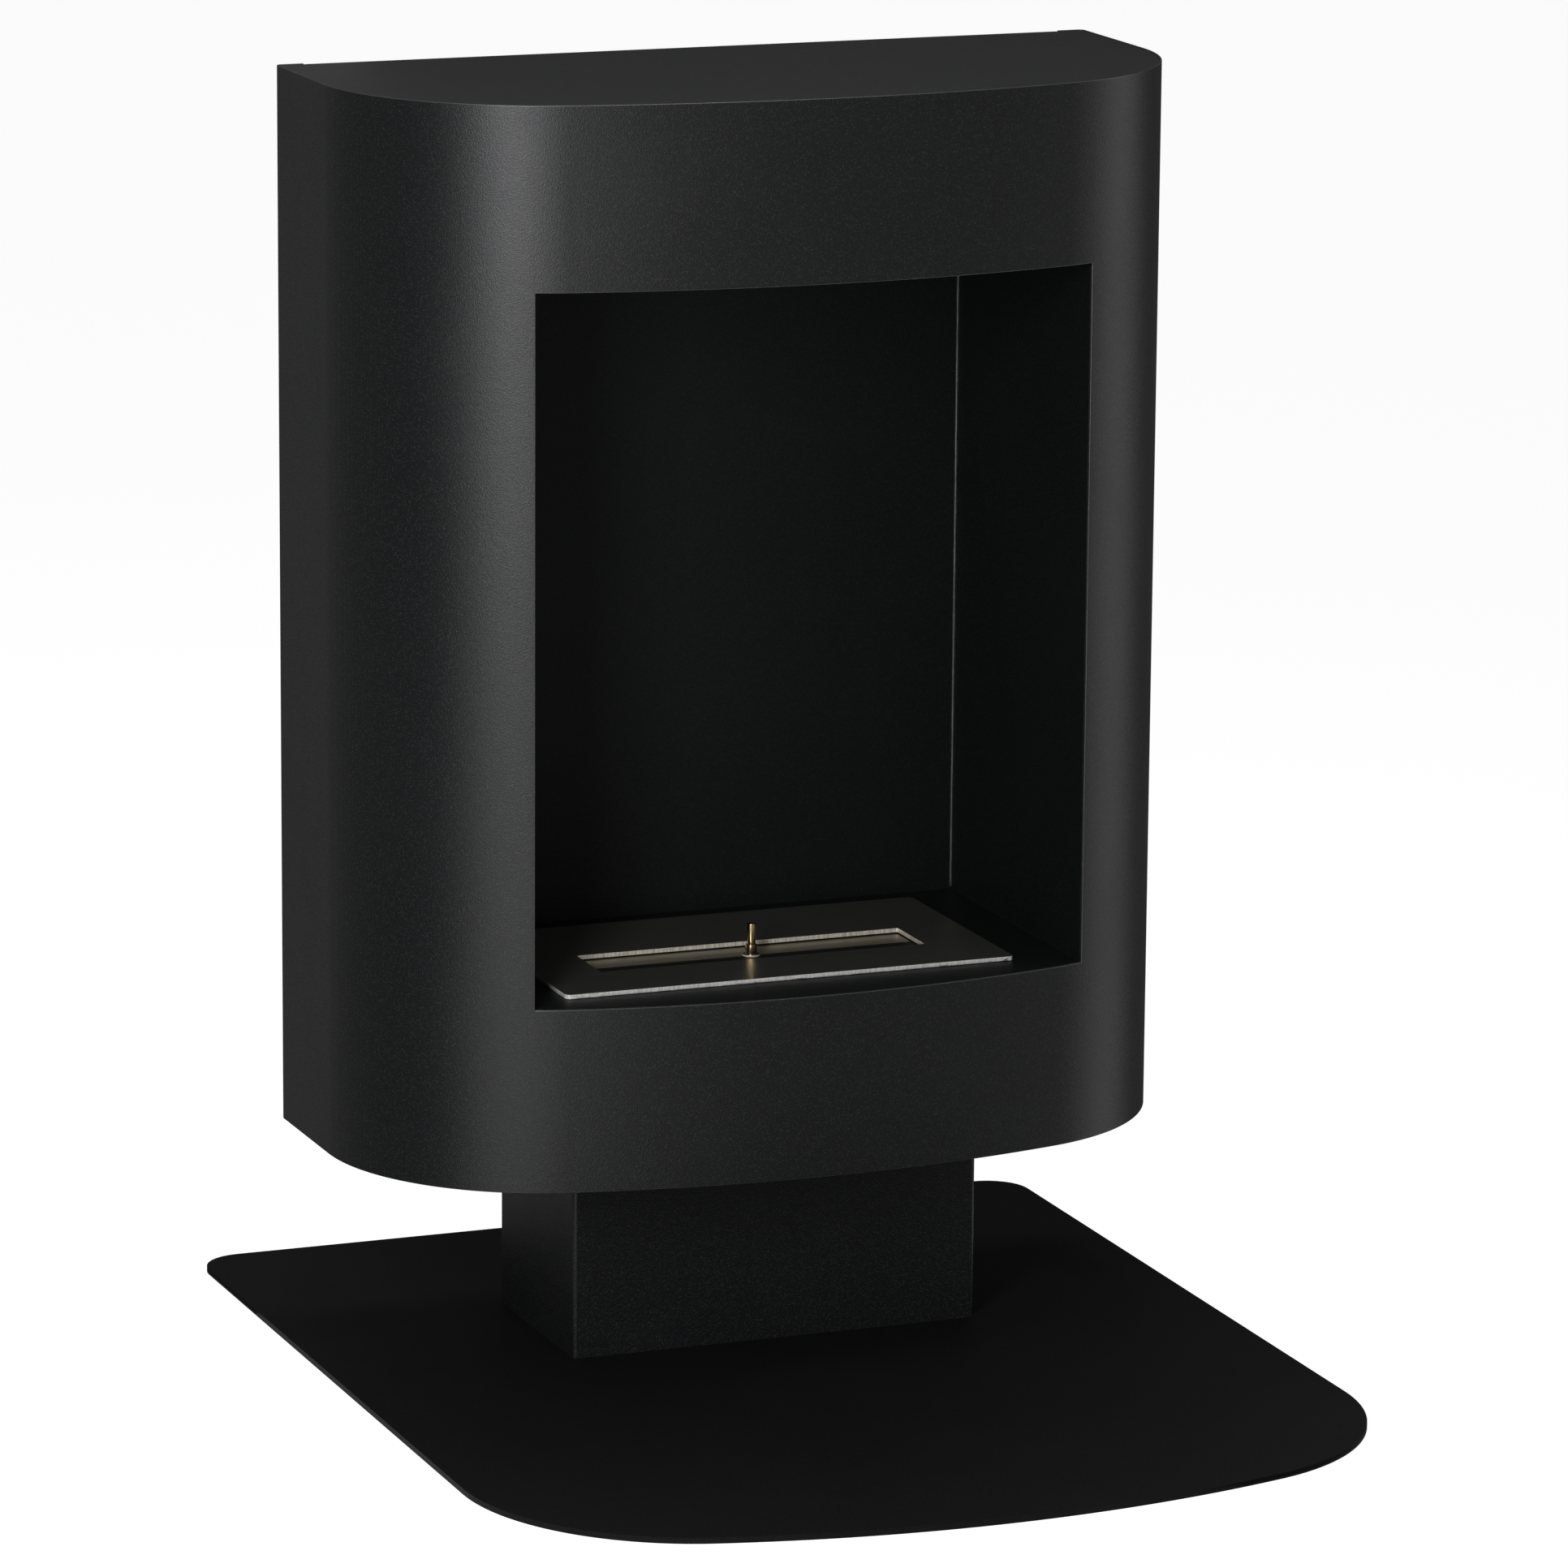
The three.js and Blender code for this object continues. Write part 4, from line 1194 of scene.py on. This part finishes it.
# %% Collar
FOOT_RADIUS, FOOT_HEIGHT = 6.2 * MM, 1.2 * MM
FOOT_STEP, TOP_WALL, BOTTOM_WALL = 1.8 * MM, 0.85 * MM, 3.1 * MM
TAPER = 0.9
collar_low, collar_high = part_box("lid_collar")
foot_middle = (pin_x, pin_y, collar_low.z + FOOT_HEIGHT / 2)
collar = round_bar("collar", foot_middle, FOOT_RADIUS, FOOT_HEIGHT, sides=48)
edit(collar)
pick(collar, "FACE", lambda face: face.normal.z > 0.9)
inset_faces(FOOT_STEP)
extrude_faces(z=collar_high.z - collar_low.z - FOOT_HEIGHT)
bpy.ops.transform.resize(value=(TAPER, TAPER, 1), center_override=(pin_x, pin_y, 0))
for up, wall_width in ((1, TOP_WALL), (-1, BOTTOM_WALL)):
    pick(collar, "FACE", lambda face: face.normal.z * up > 0.9 and len(face.verts) > 8)
    inset_faces(wall_width)
    delete_faces()
pick(collar, "EDGE", lambda edge: edge.is_boundary)
bpy.ops.mesh.bridge_edge_loops()
face_outwards()
leave_edit()
# The foot gets the pale cut steel, a painted highlight for the bright arc round its rim.
coat(collar, collar_steel, slot_steel)
soften(collar, 0.25 * MM)
for face in collar.data.polygons:
    face.material_index = 1 if face.center.z < collar_low.z + FOOT_HEIGHT else 0
stand_for(collar, "lid_collar")

# %% [markdown]
# The back panel's screws are the only fasteners in plain sight. One is modelled: a domed head
# with a six-sided socket, on a shank. The other seven are copies, each with its own mesh.

# %% Panel screws
HEAD_RADIUS, HEAD_HEIGHT, SHANK_RADIUS, SHANK_LENGTH = 4 * MM, 2.4 * MM, 2 * MM, 8 * MM
SOCKET_RADIUS, SOCKET_LENGTH = 1.5 * MM, 2.4 * MM
first = screw_places[0]
head_middle = (first.x, panel_face + HEAD_HEIGHT / 2, first.z)
head_face = (first.x, panel_face + HEAD_HEIGHT, first.z)
screw = round_bar("screw", head_middle, HEAD_RADIUS, HEAD_HEIGHT, axis="Y")
edit(screw)
pick(screw, "EDGE", lambda edge: edge_at(edge, y=panel_face + HEAD_HEIGHT))
round_edges(1.3 * MM, 5)
pick(screw, "FACE", lambda face: face.normal.y < -0.9)
inset_faces(HEAD_RADIUS - SHANK_RADIUS)
extrude_faces(y=-SHANK_LENGTH)
leave_edit()
take_away(screw, round_bar("cutter", head_face, SOCKET_RADIUS, SOCKET_LENGTH, axis="Y", sides=6))
coat(screw, zinc)
soften(screw, 0.12 * MM)
for number, place in enumerate(screw_places, 1):
    piece = screw
    if number > 1:
        only(screw)
        bpy.ops.object.duplicate()
        bpy.context.active_object.location = place - first
        piece = settle("screw")
    stand_for(piece, f"panel_screw_{number}")

# %% [markdown]
# Nuts, bolts and the countersunk screws are hidden or seen only from below, and their solids
# are already the right shape. They stay, and get their finish.

# %% Finish the solids that stay
finish_of_slot = {
    "casing_coat": casing_coat, "plate_coat": plate_coat, "stainless": polished,
    "pin_steel": pin_steel, "zinc": zinc, "ceramic_fibre": felt,
}
for node, solid in frame["nodes"].items():
    coat(solid, finish_of_slot[slot_of_node[node]])
print("finished", len(frame["nodes"]), "solids")

# %% [markdown]
# The studio has a wide pale floor that keeps the object's soft shadow. What is seen by the
# camera, in a mirror or through a clear piece is near white. What only lights a surface is
# darker, so that the black coats stay black. One switch made of nodes tells the two apart.

# %% Studio floor
FLOOR_GLOW = 0.90


def seen_directly(tree):
    """1 for what the camera, a reflection or a clear piece sees, and 0 for light on surfaces."""
    path = add_node(tree, "LightPath")
    seen = arithmetic(tree, "MAXIMUM", path.outputs["Is Camera Ray"], path.outputs["Is Glossy Ray"])
    return arithmetic(tree, "MAXIMUM", seen, path.outputs["Is Transmission Ray"])


bpy.ops.object.select_all(action="DESELECT")
bpy.ops.mesh.primitive_plane_add(size=80)
ground = bpy.context.active_object
ground.name = "studio_floor"
floor_material, floor_tree, floor_shader = new_material("pale floor", Roughness=0.9, Specular_IOR_Level=0.0)
floor_shader.inputs["Base Color"].default_value = (0.5, 0.5, 0.5, 1)
floor_shader.inputs["Emission Color"].default_value = (1, 1, 1, 1)
lift = arithmetic(floor_tree, "MULTIPLY", seen_directly(floor_tree), FLOOR_GLOW)
floor_tree.links.new(lift, floor_shader.inputs["Emission Strength"])
coat(ground, floor_material)
ground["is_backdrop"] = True
print("floor glows at", FLOOR_GLOW, "where it is seen")

# %% [markdown]
# The surround is pure white where it is seen, at strength 1, and lights the object at an eighth
# of that.

# %% Surround
SURROUND_LIGHT = 0.12
world = bpy.data.worlds.new("surround")
bpy.context.scene.world = world
world.use_nodes = True
background = world.node_tree.nodes["Background"]
background.inputs["Color"].default_value = (1, 1, 1, 1)
strength = remap(world.node_tree, seen_directly(world.node_tree), 0.0, 1.0, SURROUND_LIGHT, 1.0)
world.node_tree.links.new(strength, background.inputs["Strength"])
print("surround lights at", SURROUND_LIGHT, "and shows at 1")

# %% [markdown]
# A black coat in a white room mirrors the room and turns grey. Photographers hang black cloth
# round such a set, with gaps for the lamps, and leave the pale floor inside it. These three
# curved cloths do the same. They are met by reflections alone, so they hide nothing from the
# camera and take no light away. Each has its first and last angle and a faint glow. Angles go
# round from the right-hand side, anticlockwise.

# %% Black cloth round the set
CLOTH_RADIUS, CLOTH_FOOT, CLOTH_LOW, CLOTH_HEIGHT = 0.62, 0.40, 0.001, 1.9
CLOTHS = ((6, 100, 0.07), (100, 200, 0.15), (250, 347, 0.27))
for first_angle, last_angle, glow in CLOTHS:
    cloth_material = new_material(
        f"cloth lit to {glow}", Base_Color=(0.01, 0.01, 0.01, 1), Roughness=1.0, Specular_IOR_Level=0.0,
        Emission_Color=(1, 1, 1, 1), Emission_Strength=glow,
    )[0]
    last_turn = math.radians(last_angle)
    cloth = upright_strip("black_cloth", 0, 0.01, CLOTH_RADIUS, CLOTH_LOW, CLOTH_HEIGHT)
    edit(cloth)
    pick(cloth, "EDGE", lambda edge: edge_at(edge, z=CLOTH_LOW))
    bpy.ops.mesh.extrude_edges_move(TRANSFORM_OT_translate={"value": (0, CLOTH_FOOT - CLOTH_RADIUS, 0)})
    pick_all()
    quarter_less = math.radians(90 - last_angle)
    bpy.ops.transform.rotate(value=quarter_less, orient_axis="Z", center_override=(0, 0, 0))
    across = Vector((-math.sin(last_turn), math.cos(last_turn), 0))
    pick(cloth, "EDGE", lambda edge: all(near(vert.co.dot(across), 0) for vert in edge.verts))
    walk([("turn", (0, 0), math.radians(last_angle - first_angle), 32)])
    leave_edit()
    coat(cloth, cloth_material)
    cloth.visible_camera = cloth.visible_diffuse = cloth.visible_transmission = cloth.visible_shadow = False
    cloth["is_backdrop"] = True
    print(cloth.name, "from", first_angle, "to", last_angle, "degrees:", len(cloth.data.polygons), "faces")

# %% [markdown]
# Three soft lamps. The strong one is a narrow upright panel to the left. It draws the long sheen
# down the left corner, and lights the middle of the firebox. A faint one on the right adds a
# little to the sheen there, and one high above keeps the top from going flat.

# %% Lamps
def soft_lamp(name, place, aim, width, height, power, colour):
    bpy.ops.object.light_add(type="AREA", location=place)
    lamp = bpy.context.active_object
    lamp.name = name
    lamp.rotation_euler = (Vector(aim) - Vector(place)).to_track_quat("-Z", "Y").to_euler()
    lamp.data.shape = "RECTANGLE"
    lamp.data.size, lamp.data.size_y = width, height
    lamp.data.energy = power
    lamp.data.color = colour
    lamp.data.normalize = True


soft_lamp("key_lamp", (-1.12, -1.38, 1.0), (0, 0, 0.6), 0.36, 1.05, 19, (0.98, 0.98, 1.0))
soft_lamp("side_lamp", (1.8, -0.1, 0.7), (0, 0, 0.5), 0.35, 1.2, 1.0, (1.0, 0.97, 0.92))
soft_lamp("top_lamp", (0.1, 0.5, 2.6), (0, 0, 0.8), 1.0, 0.8, 10, (1.0, 1.0, 0.98))

# %% [markdown]
# The view transform is Standard, so that a colour renders as it is written. Last, the size of
# the dressed object is written next to the size of the frame, to compare the two.

# %% Finish
bpy.context.scene.view_settings.view_transform = "Standard"
dressed_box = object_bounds()
dressed_size = dressed_box[1] - dressed_box[0]
frame_size = frame_box[1] - frame_box[0]
print("larger than the frame by", [round(value / MM, 2) for value in dressed_size - frame_size], "mm")
